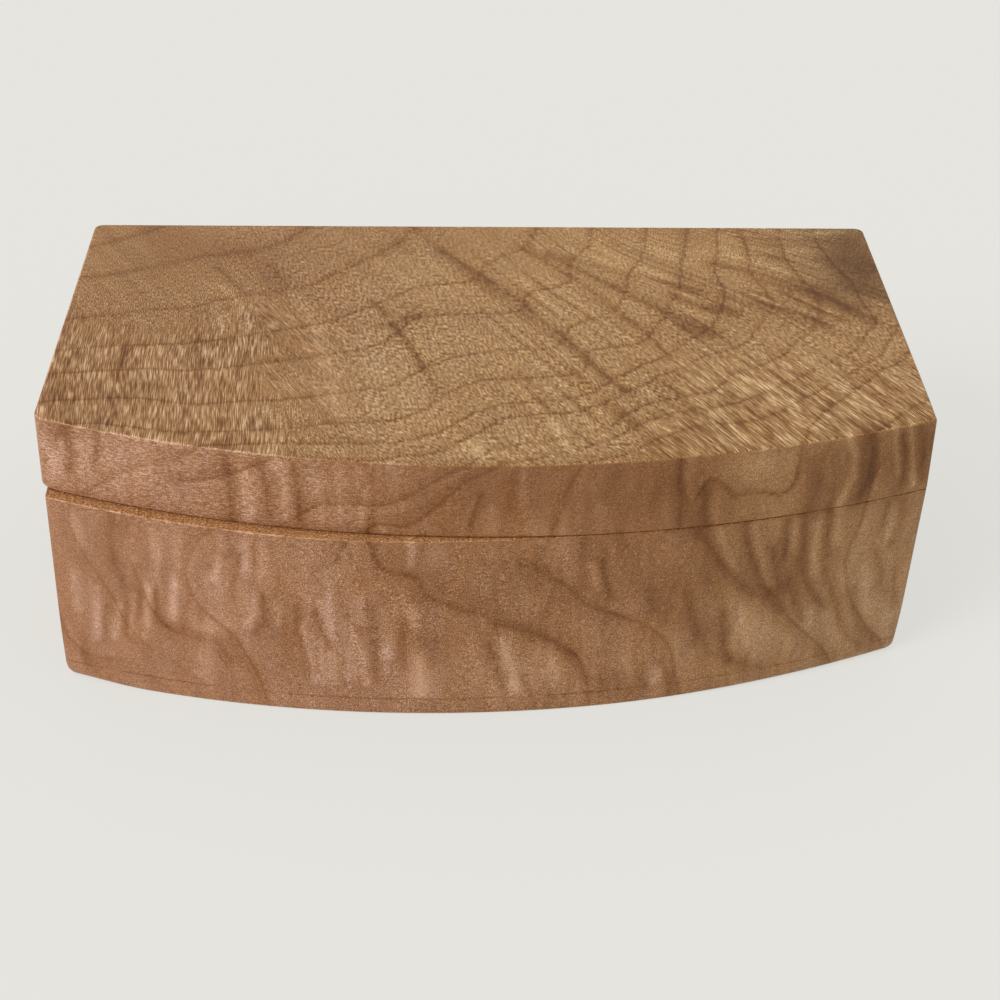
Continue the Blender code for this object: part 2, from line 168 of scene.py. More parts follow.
# Streaks of the figure on the top: tone, half width and points (x, y); dark is below zero
TOP_STREAKS = (
    (-.34, .8, (-24.5, 50), (-22.5, 46.5), (-21, 43)),
    (-.40, .7, (-20, 40), (-18.2, 35.5), (-14.5, 25.5), (-13, 20)),
    (-.22, .5, (-13, 20), (-11.5, 15), (-10.3, 11)), (-.20, .9, (-16, 88), (-13, 82), (-9, 75)),
    (-.34, .8, (-9, 75), (-5, 69), (-1, 64), (1.5, 60)),
    (-.30, 1.0, (1.5, 60), (5, 55), (8.5, 49.5), (10, 46)), (-.20, .9, (10, 46), (13, 40), (15.5, 36)),
    (-.40, .9, (15.5, 36), (18.5, 30), (21.5, 23.5), (24.5, 17), (28, 11)),
    (-.20, .8, (28, 11), (31, 5), (34, -1)), (-.26, .8, (10.5, 76), (13.5, 71), (17, 66), (20.5, 61)),
    (-.20, .8, (20.5, 61), (25, 53.5), (29, 46), (31, 42)),
    (-.26, .8, (31, 42), (34, 36), (37, 29), (38.5, 25)),
    (-.24, 1.3, (15, 73), (20, 68), (24, 63), (29, 57.5)),
    (-.28, 1.3, (29, 57.5), (33, 52.5), (38, 47), (42.5, 41.5)), (-.38, 3.0, (44, 38.5), (48, 36)),
    (-.26, .7, (41.5, 54), (45.5, 49.5), (50, 45.5)), (.26, .6, (43, 55.3), (48, 51.7), (51, 49)),
    (.16, .7, (41, 50), (45, 46), (48, 42.5)), (-.26, 2.6, (50.5, 48), (54, 45.5)),
    (-.22, 2.0, (44, 59), (47.5, 56)), (-.20, 1.6, (52, 69.5), (56, 67.5), (60, 65)),
    (-.22, 1.8, (62, 61), (67, 58), (72, 54), (75, 50)),
    (-.32, .9, (60, 50.5), (65, 47.5), (70, 43.5), (74, 40)),
    (-.30, .9, (66, 56), (70, 50.5), (74, 46), (78, 42)), (.16, .8, (62, 52), (67, 48.5), (72, 44)),
    (.14, .8, (69, 53.5), (73, 49), (77, 45)), (-.28, 2.0, (73, 56), (77, 52), (80, 47)),
    (-.26, 1.2, (79, 47), (82, 43), (84, 40)), (-.22, 8.0, (86, 66), (84, 60)),
    (-.18, 6.0, (86, 80), (84, 72)), (-.16, .9, (59, 83.2), (66, 82.3), (74, 81.7), (81, 80.8)),
    (-.13, 1.1, (56, 86.3), (64, 85.8)), (-.13, 1.0, (66, 78.8), (75, 78.8)),
    (.13, 1.0, (57, 84.6), (63, 84.2)), (.12, 1.6, (67, 76.5), (75, 75.5)),
    (-.12, 1.3, (14.4, 75.2), (31, 64.4), (54, 52.4), (68, 42), (80, 33)),
    (-.12, 1.6, (53, 69), (64, 63), (90, 52)), (-.10, 1.0, (30, 80), (38, 72), (47, 64)),
    (.08, 1.2, (20, 76), (34, 66), (50, 57)), (-.22, 1.6, (66, 74), (68, 72)),
    (.26, 1.0, (78, 85.3), (85, 86)), (-.14, 1.2, (-75.8, 38), (-75.5, 26), (-75, 12), (-74, 0)),
    (-.20, .9, (-75, 28), (-75.3, 14)), (-.20, 1.3, (-61.5, 44), (-60.5, 30), (-59.8, 16)),
    (-.16, 1.8, (-86.5, 24), (-86.5, 8), (-86, 0)),
    (.14, 2.2, (-44, 58), (-41, 52), (-37.5, 45), (-35.5, 37)),
    (.12, 2.2, (-35.5, 37), (-34, 28), (-32, 18), (-30, 5)),
    (.20, .5, (-58, 57), (-54.5, 51), (-51.5, 44), (-50.3, 38)),
    (-.20, .7, (-59.5, 66), (-56, 60), (-52.5, 54)), (-.24, 1.0, (-48, 68), (-45, 61), (-43.5, 57)),
    (-.10, 5.0, (-58.5, 74), (-51.5, 73.5)), (-.09, 4.0, (-22, 76.5), (-19.5, 78)),
    (-.34, 1.6, (-17.5, 41.8), (-14.5, 43.3)), (-.20, 1.2, (-23, 38.5), (-20, 39)),
    (-.26, 1.0, (-47, 43), (-45.5, 41.5)), (.26, .8, (-45.3, 39.5), (-45.2, 38.5)),
    (.24, .6, (41.5, 18), (44.5, 9), (47.5, 0), (49.5, -8)), (.20, .5, (40, 14), (43, 6), (46, -2)),
    (.18, .5, (44, 16), (46.5, 8)), (-.30, .8, (47.5, 14.5), (50, 9), (52.5, 4), (54.5, -1), (56, -6)),
    (-.20, .6, (37, 12), (39.5, 6), (41.5, 1)), (.20, .5, (56.5, 18), (60, 10), (62.5, 4)),
    (-.24, .7, (59, 19), (62, 12), (65, 5)), (.18, .5, (61.5, 20), (64.5, 13), (68, 6)),
    (-.26, .8, (55, 8), (57.5, 2), (60, -4)), (.16, .5, (71, 16), (73.5, 10), (76, 4)),
    (-.24, .5, (75, 14), (78, 10), (80.5, 6.5)), (-.16, .6, (81, 16), (84, 10), (87, 4)),
    (.12, .6, (83, 18), (86, 12)), (.24, .9, (12.5, -1), (14, -6), (15.5, -12)),
    (.20, 1.4, (-3, -9), (-1.5, -15)), (.14, .8, (6.5, 14), (8.5, 8), (10.5, 2)),
    (.12, 3.0, (-6, -13), (4, -14.5)), (-.25, 9, (86, 82), (86, 62)), (-.09, 12, (-72, 82), (-72, 66)),
    (-.07, 12, (-40, 56), (-40, 42)), (-.07, 10, (46, 52), (76, 46)), (-.04, 12, (-40, 80), (-10, 78)),
    (.06, 12, (42, 74), (58, 73)),
)

# Curl of the figure on the bowed front, its bars partly the wood's tone and partly painted sheen: tone, half
# width and points (x, z)
FRONT_STREAKS = (
    (-.22, 1.3, (-83, 59), (-82.5, 53), (-83.5, 49)), (-.22, 1.0, (-77, 60), (-76.8, 56), (-78, 51)),
    (.12, 2.0, (-86, 54), (-86, 48)), (.10, 1.5, (-80, 56), (-80.5, 47)), (-.10, 2.5, (-63, 57), (-64, 54)),
    (-.22, 1.5, (-51, 60), (-50.5, 54), (-50.5, 44)), (.16, 1.5, (-48, 58), (-47, 50), (-47, 44)),
    (-.20, 1.3, (-44.5, 58), (-43, 52), (-43, 46)), (.20, 1.3, (-41.5, 60), (-39.5, 54), (-39.5, 46)),
    (-.20, 1.2, (-37.5, 57), (-37, 50), (-37, 45)), (.10, 1.5, (-33, 56), (-33, 46)),
    (.12, 1.2, (-28.5, 58), (-29, 46)),
    (-.35, .35, (40.5, 50), (41.6, 52.5), (42.9, 54.6), (45.6, 53.4), (48, 50.1), (51, 50.4), (54, 50.1),
     (57.6, 48.7), (60, 50.1), (61.2, 53.4)), (-.125, 10, (0, 54), (35, 54)), (-.125, 9, (45, 53), (60, 53)),
    (-.29, 8, (76, 53), (88, 53)), (.12, 8, (-86, 54), (-68, 54)), (.10, 9, (-11, 8), (34, 8)),
    (-.06, 10, (-20, 53), (-8, 53)), (-.05, 10, (10, 34), (24, 34)), (-.12, 11, (42, 32), (56, 32)),
    (.06, 9, (76, 34), (82, 10)), (.16, .9, (-25.5, 58), (-24, 52), (-25, 46)),
    (.10, 1.0, (-21, 49), (-21, 44)), (.14, .8, (-3, 52), (-5, 45)),
    (-.25, .9, (-1.8, 53), (-3, 49), (-4, 46)), (.12, 1.0, (.5, 50), (.5, 45)),
    (.12, .7, (6.5, 60), (6.5, 52)), (-.12, 1.6, (4, 58), (4, 50)), (.10, 1.0, (9.5, 47), (9, 44)),
    (.10, 1.4, (21.5, 50), (21.5, 44)), (-.26, 1.1, (37, 60), (37, 55), (38, 51), (37.5, 44)),
    (.14, 1.0, (38.8, 59), (38.6, 54), (40.5, 50)), (-.25, 1.6, (42.5, 52), (42.3, 47), (43, 44)),
    (.12, 1.0, (44.5, 50), (45, 45)), (.16, 4.0, (48, 56), (57, 56)),
    (-.18, 2.5, (64, 56), (65, 50), (64, 45)), (-.16, 2.0, (69, 48), (68.5, 44)),
    (.26, 1.0, (71, 60), (73, 55), (73, 50), (70.5, 44)),
    (-.30, 1.6, (75.5, 60), (76.7, 55), (76.7, 50), (75, 45)), (.14, .8, (78.5, 57), (78.5, 50), (78, 46)),
    (.22, .6, (80.7, 60), (81.5, 55), (82.7, 49)), (-.22, .9, (82.6, 58), (84, 52), (84, 46)),
    (.28, .6, (84, 60), (85.3, 54), (86.6, 45)), (-.20, 1.0, (86.5, 59), (88, 52), (88.5, 46)),
    (-.15, 2.2, (-75.4, 42), (-75.8, 37), (-75.4, 32), (-73.4, 26)), (-.09, 2.0, (-69, 42), (-70, 32)),
    (-.10, 4.2, (-43, 26), (-41.5, 18), (-41, 10)), (.10, 1.6, (-83, 40), (-82, 34)),
    (.10, 1.5, (-66, 40), (-65.5, 34)), (.12, 1.2, (-61.5, 40), (-62, 34), (-63, 28)),
    (.18, 1.1, (-62.8, 29), (-63.3, 24), (-64, 20)), (-.22, 1.0, (-67, 26), (-67, 21), (-65, 17.8)),
    (.16, .9, (-68.5, 27), (-69.5, 18)), (-.14, .8, (-70.3, 25), (-71, 19)),
    (.16, .9, (-71.5, 24), (-73, 15)), (-.16, .9, (-73.3, 22), (-74, 14)), (.20, 1.0, (-75, 21), (-76.5, 13)),
    (-.14, .9, (-77.7, 20), (-79, 11)), (.10, 1.0, (-79.5, 20), (-81, 11)),
    (-.12, 1.0, (-83.5, 12), (-83, 4)), (-.18, 1.2, (-62.5, 18), (-58.5, 16.6)),
    (-.18, 1.3, (-55, 16), (-52, 11)), (.12, 2.0, (-58, 18.5), (-53, 19.5)),
    (.12, 1.5, (-57, 14), (-57.5, 7)), (-.12, 1.0, (-56, 34), (-53, 36), (-50.5, 38)),
    (.20, 1.0, (-53.5, 36), (-54.5, 31)), (.17, 1.1, (-47.5, 41), (-48, 34)),
    (-.14, .8, (-49.3, 38), (-50.5, 31), (-51, 27)), (.14, 1.0, (-44.5, 40), (-44.8, 34)),
    (-.14, .8, (-46, 42), (-46.3, 36)), (.16, 1.1, (-46.5, 28), (-46.5, 24), (-48.5, 21)),
    (-.18, 1.2, (-45, 28), (-45, 22), (-47, 19)), (.12, 1.0, (-42, 26), (-42, 22)),
    (-.18, 1.0, (-38.5, 27), (-38, 20), (-36.8, 14), (-36, 10)), (.22, .8, (-37.4, 22), (-36, 14), (-35, 8)),
    (-.20, .9, (-34.5, 26), (-33, 20), (-31.5, 17)), (.16, .9, (-33.7, 18), (-33.3, 8)),
    (.18, 1.0, (-31.2, 30), (-31.2, 20), (-31.2, 8)), (-.10, 1.0, (-28.5, 28), (-28, 18)),
    (.16, 1.2, (-25.5, 30), (-25.5, 24)), (-.12, 1.2, (-23, 27), (-23, 22)),
    (.16, 1.3, (-26, 19), (-25, 13), (-24, 8)), (.12, 1.0, (-20.5, 18), (-20.5, 11)),
    (-.12, 1.2, (-17.5, 22), (-18, 14)), (.26, 1.0, (-15, 43), (-15.2, 38)),
    (.22, 1.3, (-14.8, 27), (-14.6, 23)), (.16, 1.8, (-13.5, 14), (-13.5, 6)),
    (-.14, 2.0, (-11, 19), (-11.5, 14)), (.12, 2.0, (-10, 41), (-11, 38)),
    (-.26, .6, (-23.5, 44), (-22.6, 39.6), (-20.5, 36.4), (-17, 35.6), (-14, 34.7), (-12.3, 30.2),
     (-7, 27.5), (-1, 25.4)), (-.09, 3.2, (-18, 40), (-13, 37.5), (-8, 31.5), (-1, 28.5)),
    (-.16, .5, (15, 52), (11.4, 42), (10, 38), (14.3, 33), (20, 27.5), (28, 22.6)),
    (.10, 2.6, (13.5, 42.5), (17.5, 35)), (-.10, 3.0, (36, 22), (44, 17)), (.14, 1.2, (-84, 27), (-84, 18)),
    (.13, 1.1, (-79.3, 24), (-80.3, 12)), (.15, 1.0, (-68.2, 26), (-70, 14)),
    (.14, 1.4, (-33, 28), (-32.3, 20)), (.16, 1.6, (-28, 22), (-27.5, 10)),
    (.13, 1.9, (-20, 26), (-19.6, 16)), (.15, 2.2, (-14, 15), (-13.6, 6)), (-.13, 1.3, (-23, 20), (-22.5, 9)),
    (-.12, 1.2, (-16.6, 24), (-16.8, 12)), (-.20, 1.8, (2, 24), (9, 21.5), (13, 18.5), (17, 14.5)),
    (-.14, 1.4, (18, 14), (20, 8)), (-.24, .9, (.5, 18), (2, 12), (3.2, 7)),
    (.22, 1.1, (3, 19), (4.5, 13), (6, 6)), (-.12, .8, (6.8, 39), (7.5, 34), (8.3, 31)),
    (-.14, .7, (7, 10), (9, 6), (10.2, 1)), (.12, 1.5, (13, 16), (14, 9)),
    (-.18, 1.3, (18.8, 42), (18.8, 31)), (.18, 1.0, (20.8, 36), (22, 31)),
    (-.22, 1.0, (21.8, 38), (23.3, 33), (24.8, 28)), (-.14, .8, (26.5, 43), (27.5, 40)),
    (-.16, 1.3, (32.5, 30), (33.5, 24)), (-.12, 1.2, (23.5, 8), (24, 4)), (-.16, 1.6, (27, 8), (27.5, 5)),
    (-.18, .8, (32, 10), (32, 6), (34, 3)), (.16, 1.3, (35, 8), (34.5, 5)),
    (-.18, .8, (36, 11), (37.7, 6), (38.3, 1)), (-.16, 2.0, (39.5, 29), (41.5, 22), (44, 15), (46, 11)),
    (-.12, 1.5, (45, 30), (47, 25)), (-.26, 1.2, (48.6, 21), (49, 14), (49.5, 10), (51, 8)),
    (-.16, 1.6, (51, 8), (54, 6), (57.5, 5)), (.10, 5.5, (51, 26), (54, 19), (61, 11)),
    (.08, 3.0, (50.5, 27), (52, 20), (54, 12)), (-.30, 1.8, (42, 42), (44, 39), (46, 35), (49, 31), (52, 27)),
    (-.20, 2.0, (54, 25), (58, 22.5), (61, 19)), (.20, 1.1, (46, 42), (48, 36), (50, 31.5)),
    (-.28, 1.3, (51, 43), (52, 38), (53.8, 33), (55.8, 28), (58, 24)),
    (.16, 1.0, (53, 42), (54, 37), (56.5, 31), (57.5, 27)), (-.22, 1.0, (57.3, 36), (59, 30), (60, 25)),
    (-.20, 1.0, (60, 43), (60, 36), (60.2, 33)), (.12, .9, (61.8, 41), (61.8, 35)),
    (-.28, 1.1, (63.3, 43), (64.3, 37), (64.3, 31), (65.3, 26), (67.5, 22), (70.5, 18)),
    (.14, 1.2, (66.5, 40), (66.6, 32), (67.5, 27)), (-.24, 1.6, (62, 27), (63.5, 21), (66, 15)),
    (.18, 1.4, (67.5, 17), (67.5, 14)), (-.24, 1.2, (68.7, 43), (69, 37), (69.5, 31)),
    (.12, 1.0, (71, 42), (71.5, 35)),
    (-.20, .9, (69.5, 28), (71.5, 22), (73.3, 17), (75, 11), (77.5, 7), (81, 3)),
    (.12, 1.0, (73, 27), (75, 20), (77, 13)), (-.16, 1.3, (76.5, 21), (77.3, 15), (79.5, 10), (83, 5)),
    (.10, 1.0, (78, 27), (79.5, 20), (80.5, 14)), (-.18, 1.2, (81.5, 43), (81.2, 36)),
    (-.16, .9, (80.3, 30), (82.5, 24), (83.5, 18)), (-.18, 1.2, (85, 42), (85, 36), (84, 31)),
    (.12, 1.0, (83, 40), (82.8, 33)), (-.14, 1.0, (85, 24), (86.5, 18), (87, 13)),
    (-.12, 2.0, (83, 5), (86.5, 3)),
)


# The box's outline in plan

def bow(x, wall=0.0):
    """The front's circle at x, moved inward by wall."""
    return FRONT_RADIUS - FRONT_BOW - np.sqrt((FRONT_RADIUS - wall) ** 2 - np.asarray(x, float) ** 2)


def ease(value, start, end):
    """From 0 at start to 1 at end, with soft ends."""
    share = np.clip((np.asarray(value, float) - start) / (end - start), 0, 1)
    return share * share * (3 - 2 * share)


def rim_front(x):
    return bow(x) - LEDGE * (1 - ease(x, LEDGE_FADES_FROM, LEDGE_ENDS_AT))


def foot_front(x):
    across = np.asarray(x, float) / WIDTH + 1 / 2
    return bow(x) - FOOT_PROUD_LEFT * (1 - across) + FOOT_SHY_RIGHT * across


def graded(edge, step, length):
    """Shares of a length, closer together within an edge distance of both ends."""
    near = edge * (1 - np.cos(np.linspace(0, math.pi / 2, CORNER_PARTS + 1)))
    middle = np.linspace(edge, length - edge, round((length - 2 * edge) / step) + 1)
    return np.concatenate([near[:-1], middle, length - near[-2::-1]]) / length


def plan_loop(left, right, back, front, front_rounds, back_round, inward, step):
    """Counter-clockwise loop: the front from the left, the right side, the back and the left side."""
    left, right, back = left + inward, right - inward, back - inward
    x = left + (right - left) * graded(BACK_CORNER, step, WIDTH)
    slope = (front(x + STEP) - front(x - STEP)) / (2 * STEP)
    y = front(x) + inward * np.sqrt(1 + slope ** 2)
    starts = []
    for end, side, front_round in ((0, 1, front_rounds[0]), (-1, -1, front_rounds[1])):
        turn = max(front_round - inward, 0.02)
        lean = side * slope[end]
        steep = math.sqrt(1 + lean * lean)
        middle_y = y[end] + lean * turn + turn * steep
        away = side * (x - x[end])
        curved = away < turn * (1 + lean / steep)
        y = np.where(curved, middle_y - np.sqrt(np.maximum(turn ** 2 - (away - turn) ** 2, 0)), y)
        starts.append(middle_y)
    turn = max(back_round - inward, 0.02)
    away = np.minimum(np.minimum(x - left, right - x), turn)
    rear = back - turn + np.sqrt(np.maximum(turn ** 2 - (turn - away) ** 2, 0))
    rows = round(DEPTH_AT_ENDS / step)
    up = np.arange(1, rows) / rows
    right_y = starts[1] + (back - turn - starts[1]) * up
    left_y = starts[0] + (back - turn - starts[0]) * up
    loop = [np.stack([x, y], 1), np.stack([np.full(rows - 1, right), right_y], 1),
            np.stack([x[::-1], rear[::-1]], 1), np.stack([np.full(rows - 1, left), left_y[::-1]], 1)]
    return np.concatenate(loop), len(x) - 1, rows


def lid_plan(z, inward, step):
    return plan_loop(-WIDTH / 2, WIDTH / 2, DEPTH_AT_ENDS, bow,
                     (LID_LEFT_CORNER, LID_RIGHT_CORNER), BACK_CORNER, inward, step)


def base_plan(z, inward, step):
    share = z / RIM_Z
    corner = FOOT_CORNER + (FRONT_CORNER - FOOT_CORNER) * float(ease(z, 0, 14))
    return plan_loop(-WIDTH / 2 + LEFT_IN_AT_FOOT + (LEFT_IN_AT_RIM - LEFT_IN_AT_FOOT) * share,
                     WIDTH / 2 - RIGHT_IN_AT_FOOT * (1 - share), DEPTH_AT_ENDS,
                     lambda x: foot_front(x) * (1 - share) + rim_front(x) * share,
                     (corner, corner), BACK_CORNER, inward, step)


def well_plan(z, inward, step):
    return plan_loop(WELL_LEFT, WELL_RIGHT, WELL_BACK, lambda x: bow(x, FRONT_WALL),
                     (WELL_CORNER, WELL_CORNER), WELL_CORNER, inward, step)


# Closed solids

def mesh_from(points, faces, name):
    """A smooth-shaded mesh from millimetres in plan."""
    points = (np.asarray(points) + np.array([0, PLAN_TO_MIDDLE, 0])) * MM
    mesh = bpy.data.meshes.new(name)
    mesh.from_pydata(points.tolist(), [], [list(map(int, face)) for face in faces])
    mesh.validate()
    mesh.shade_smooth()
    mesh.set_sharp_from_angle(angle=SMOOTH_UNDER)
    return mesh


def level(plan, z, inward, step):
    """One loop of the wall: height and inward distance may differ from point to point."""
    nominal = float(np.mean(z))
    outer, columns, rows = plan(nominal, 0.0, step)
    inner, _, _ = plan(nominal, 1.0, step)
    flat = outer + np.reshape(inward, (-1, 1)) * (inner - outer)
    return np.column_stack([flat, np.broadcast_to(z, len(flat))]), columns, rows


def cap(loop, columns, rows):
    """Points and index grid of a surface that fills a loop."""
    count = len(loop)
    front = loop[:columns + 1]
    right = loop[columns:columns + rows + 1]
    back = loop[columns + rows:2 * columns + rows + 1][::-1]
    left = np.concatenate([loop[2 * columns + rows:], loop[:1]])[::-1]
    u = ((front[:, 0] - front[0, 0]) / (front[-1, 0] - front[0, 0]))[:, None, None]
    v = (np.arange(rows + 1) / rows)[None, :, None]
    surface = (1 - v) * front[:, None] + v * back[:, None] + (1 - u) * left[None] + u * right[None]
    surface -= ((1 - u) * (1 - v) * front[0] + u * (1 - v) * front[-1]
                + (1 - u) * v * back[0] + u * v * back[-1])
    index = np.zeros((columns + 1, rows + 1), int)
    index[:, 0] = np.arange(columns + 1)
    index[columns, :] = np.arange(columns, columns + rows + 1)
    index[:, rows] = np.arange(2 * columns + rows, columns + rows - 1, -1)
    index[0, 1:rows] = np.arange(count - 1, 2 * columns + rows, -1)
    inside = surface[1:-1, 1:-1]
    return inside.reshape(-1, 3), index


def rounded_wall(flat, low, high, low_round, high_round, step):
    """Heights and inward distances of a wall between two heights, its lower and upper edges rounded."""
    spread = (np.broadcast_to(each, len(flat)) for each in (low, high, low_round, high_round))
    low, high, low_round, high_round = spread
    quarter = np.linspace(0, math.pi / 2, ARRIS_PARTS + 1)
    rings = []
    if low_round.max() > 0:
        for turn in quarter[:-1]:
            rings.append((low + low_round * (1 - math.cos(turn)), low_round * (1 - math.sin(turn))))
    start, end = low + low_round, high - high_round
    parts = max(1, round(float(np.mean(end - start)) / step))
    for part in range(parts + 1):
        z = start + (end - start) * part / parts
        rings.append((z, hand_wave(flat, z)))
    if high_round.max() > 0:
        for turn in quarter[1:]:
            rings.append((end + high_round * math.sin(turn), high_round * (1 - math.cos(turn))))
    return rings


def flared_wall(low, high, flare):
    """A wall that widens at its top, to round the edge of the wood it is cut from."""
    rings = [(low, 0.0)]
    for turn in np.linspace(0, math.pi / 2, ARRIS_PARTS + 1):
        rings.append((high - flare + flare * math.sin(turn), flare * (math.cos(turn) - 1)))
    return rings + [(high + OVERRUN, -flare)]


def block(plan, rings, step, name):
    """Closed solid whose wall follows a plan at the given heights and inward distances."""
    loops = [level(plan, z, inward, step) for z, inward in rings]
    columns, rows = loops[0][1:]
    loops = [loop for loop, _, _ in loops]
    count = len(loops[0])
    points = [np.concatenate(loops)]
    ring = np.arange(count)
    after = np.roll(ring, -1)
    faces = []
    for lower in range(len(loops) - 1):
        a, b = lower * count, (lower + 1) * count
        faces.append(np.stack([ring + a, after + a, after + b, ring + b], 1))
    used = len(loops) * count
    for loop, first, turned in ((loops[0], 0, True), (loops[-1], (len(loops) - 1) * count, False)):
        inside, index = cap(loop, columns, rows)
        index = index + first
        index[1:-1, 1:-1] = used + np.arange(len(inside)).reshape(columns - 1, rows - 1)
        used += len(inside)
        points.append(inside)
        quads = np.stack([index[:-1, :-1], index[1:, :-1], index[1:, 1:], index[:-1, 1:]], -1).reshape(-1, 4)
        faces.append(quads[:, ::-1] if turned else quads)
    return mesh_from(np.concatenate(points), np.concatenate(faces), name)


def hand_wave(flat, z):
    """How far sanding by hand has strayed inward from the plan, smoothly from place to place."""
    x, y = flat[:, 0], flat[:, 1]
    wave = np.sin(x / 11 + z / 17) + np.sin(x / 5.3 - z / 9 + 1) / 2 + np.sin(y / 13 + z / 11 + 2)
    return HAND_WAVE * (1 + wave / 2.5) / 2


def prism(outline, low, high, axis):
    """Straight solid between two places along an axis, on an outline of pairs."""
    count = len(outline)
    order = {"x": (2, 0, 1), "z": (0, 1, 2)}[axis]
    points = []
    for place in (low, high):
        for first, second in outline:
            triple = (first, second, place)
            points.append([triple[index] for index in order])
    sides = [(i, (i + 1) % count, (i + 1) % count + count, i + count) for i in range(count)]
    mesh = bpy.data.meshes.new("cutter")
    mesh.from_pydata((np.array(points) * MM).tolist(), [],
                     sides + [tuple(range(count))[::-1], tuple(range(count, 2 * count))])
    return mesh


def circle(middle, radius, sides):
    turns = [2 * math.pi * side / sides for side in range(sides)]
    return [(middle[0] + radius * math.cos(turn), middle[1] + radius * math.sin(turn)) for turn in turns]


def rectangle(low, high):
    return [(low[0], low[1]), (high[0], low[1]), (high[0], high[1]), (low[0], high[1])]


def hinge_cutters():
    """Recesses, barrel grooves and pilot holes of both hinges."""
    cutters = []
    for middle in (-HINGE_X, HINGE_X):
        recess = rectangle((AXIS_Y - RECESS_REACH, AXIS_Z - RECESS_DEEP), (AXIS_Y, AXIS_Z + RECESS_DEEP))
        for outline in (recess, circle((AXIS_Y, AXIS_Z), BARREL_GROOVE, 32)):
            cutters.append(prism(outline, middle - RECESS_HALF, middle + RECESS_HALF, "x"))
        for along in (-SCREW_X, SCREW_X):
            cutters.append(prism(circle((middle + along, AXIS_Y + SCREW_Y), PILOT_RADIUS, 16),
                                 AXIS_Z - PILOT_DEEP, AXIS_Z + PILOT_DEEP, "z"))
    return cutters


def stop_cutter(side):
    """Wedge behind the hinge axis, above it for side 1 and below it for side -1."""
    near = AXIS_Z + side * STOP_EASE
    flat = near - side * OVERRUN
    past = BACK_Y + OVERRUN
    high = near + side * (past - AXIS_Y) * STOP_SLOPE
    outline = [(AXIS_Y - OVERRUN / STOP_SLOPE, flat), (past, flat), (past, high)]
    return prism(outline if side > 0 else outline[::-1], -WIDTH / 2 - OVERRUN, WIDTH / 2 + OVERRUN, "x")


def cut(mesh, cutters, name):
    """The mesh with each cutter taken out of it."""
    piece = bpy.data.objects.new(name, mesh)
    bpy.context.scene.collection.objects.link(piece)
    tools = []
    for cutter in cutters:
        tool = bpy.data.objects.new("cutter", cutter)
        bpy.context.scene.collection.objects.link(tool)
        modifier = piece.modifiers.new("cut", "BOOLEAN")
        modifier.operation = "DIFFERENCE"
        modifier.solver = "MANIFOLD"
        modifier.object = tool
        tools.append(tool)
    bpy.context.view_layer.update()
    result = bpy.data.meshes.new_from_object(piece.evaluated_get(bpy.context.evaluated_depsgraph_get()))
    for used in [piece] + tools:
        bpy.data.objects.remove(used, do_unlink=True)
    result.name = name
    result.shade_smooth()
    result.set_sharp_from_angle(angle=SMOOTH_UNDER)
    return result


# The block's inner figure, as values at the wood's points

GUIDE_SOFT = 3.0
GUIDE_RIDGE = 0.06
POINTS_AT_ONCE = 20000
TOP_FIGURE_DEPTH = 7.0
FRONT_FIGURE_DEPTH = 5.0
# Strength of the front's curl, whose bars are partly painted sheen
CURL_AND_SHEEN = 1.05
CREASE = 1.32
CREASE_FALL = 1.3
CREASE_UNDER = 2.5
NARROWEST_RINGS = 2.0
WIDEST_RINGS = 30.0


def ring_guides():
    """Places in the block that the rings pass, and the level of each."""
    places, levels = [], []
    for rings, placed in ((TOP_RINGS, lambda x, y: (x, y, TOP_Z)),
                          (FRONT_RINGS, lambda x, z: (x, float(bow(x)), z)),
                          (HIDDEN_RINGS, lambda x, y, z: (x, y, z))):
        for number, points in rings.items():
            places += [placed(*point) for point in points]
            levels += [number] * len(points)
    return np.array(places, float), np.array(levels, float)


def ring_weights(places, levels):
    """Weights of the smooth field that takes each guide's level at the guide."""
    count = len(places)
    apart = np.linalg.norm(places[:, None] - places[None], axis=2)
    flat = np.hstack([np.ones((count, 1)), places / WIDTH])
    whole = np.zeros((count + 4, count + 4))
    whole[:count, :count] = np.sqrt(apart ** 2 + GUIDE_SOFT ** 2) - GUIDE_RIDGE * np.eye(count)
    whole[:count, count:] = flat
    whole[count:, :count] = flat.T
    return np.linalg.solve(whole, np.concatenate([levels, np.zeros(4)]))


GUIDES, GUIDE_LEVELS = ring_guides()
GUIDE_WEIGHTS = ring_weights(GUIDES, GUIDE_LEVELS)


def growth_at(points, normals):
    """Ring level at each point, and how far apart the rings are along the surface there."""
    count = len(GUIDES)
    pull, tilt = GUIDE_WEIGHTS[:count], GUIDE_WEIGHTS[count + 1:] / WIDTH
    value, spacing = np.empty(len(points)), np.empty(len(points))
    for start in range(0, len(points), POINTS_AT_ONCE):
        these = slice(start, start + POINTS_AT_ONCE)
        part, facing = points[these], normals[these]
        squared = (part ** 2).sum(1)[:, None] + (GUIDES ** 2).sum(1)[None] - 2 * part @ GUIDES.T
        reach = np.sqrt(np.maximum(squared, 0) + GUIDE_SOFT ** 2)
        value[these] = reach @ pull + GUIDE_WEIGHTS[count] + part @ tilt
        shares = pull / reach
        slope = part * shares.sum(1)[:, None] - shares @ GUIDES + tilt
        slope -= facing * (slope * facing).sum(1)[:, None]
        spacing[these] = 1 / np.maximum(np.linalg.norm(slope, axis=1), 0.02)
    return value, np.clip(spacing, NARROWEST_RINGS, WIDEST_RINGS)


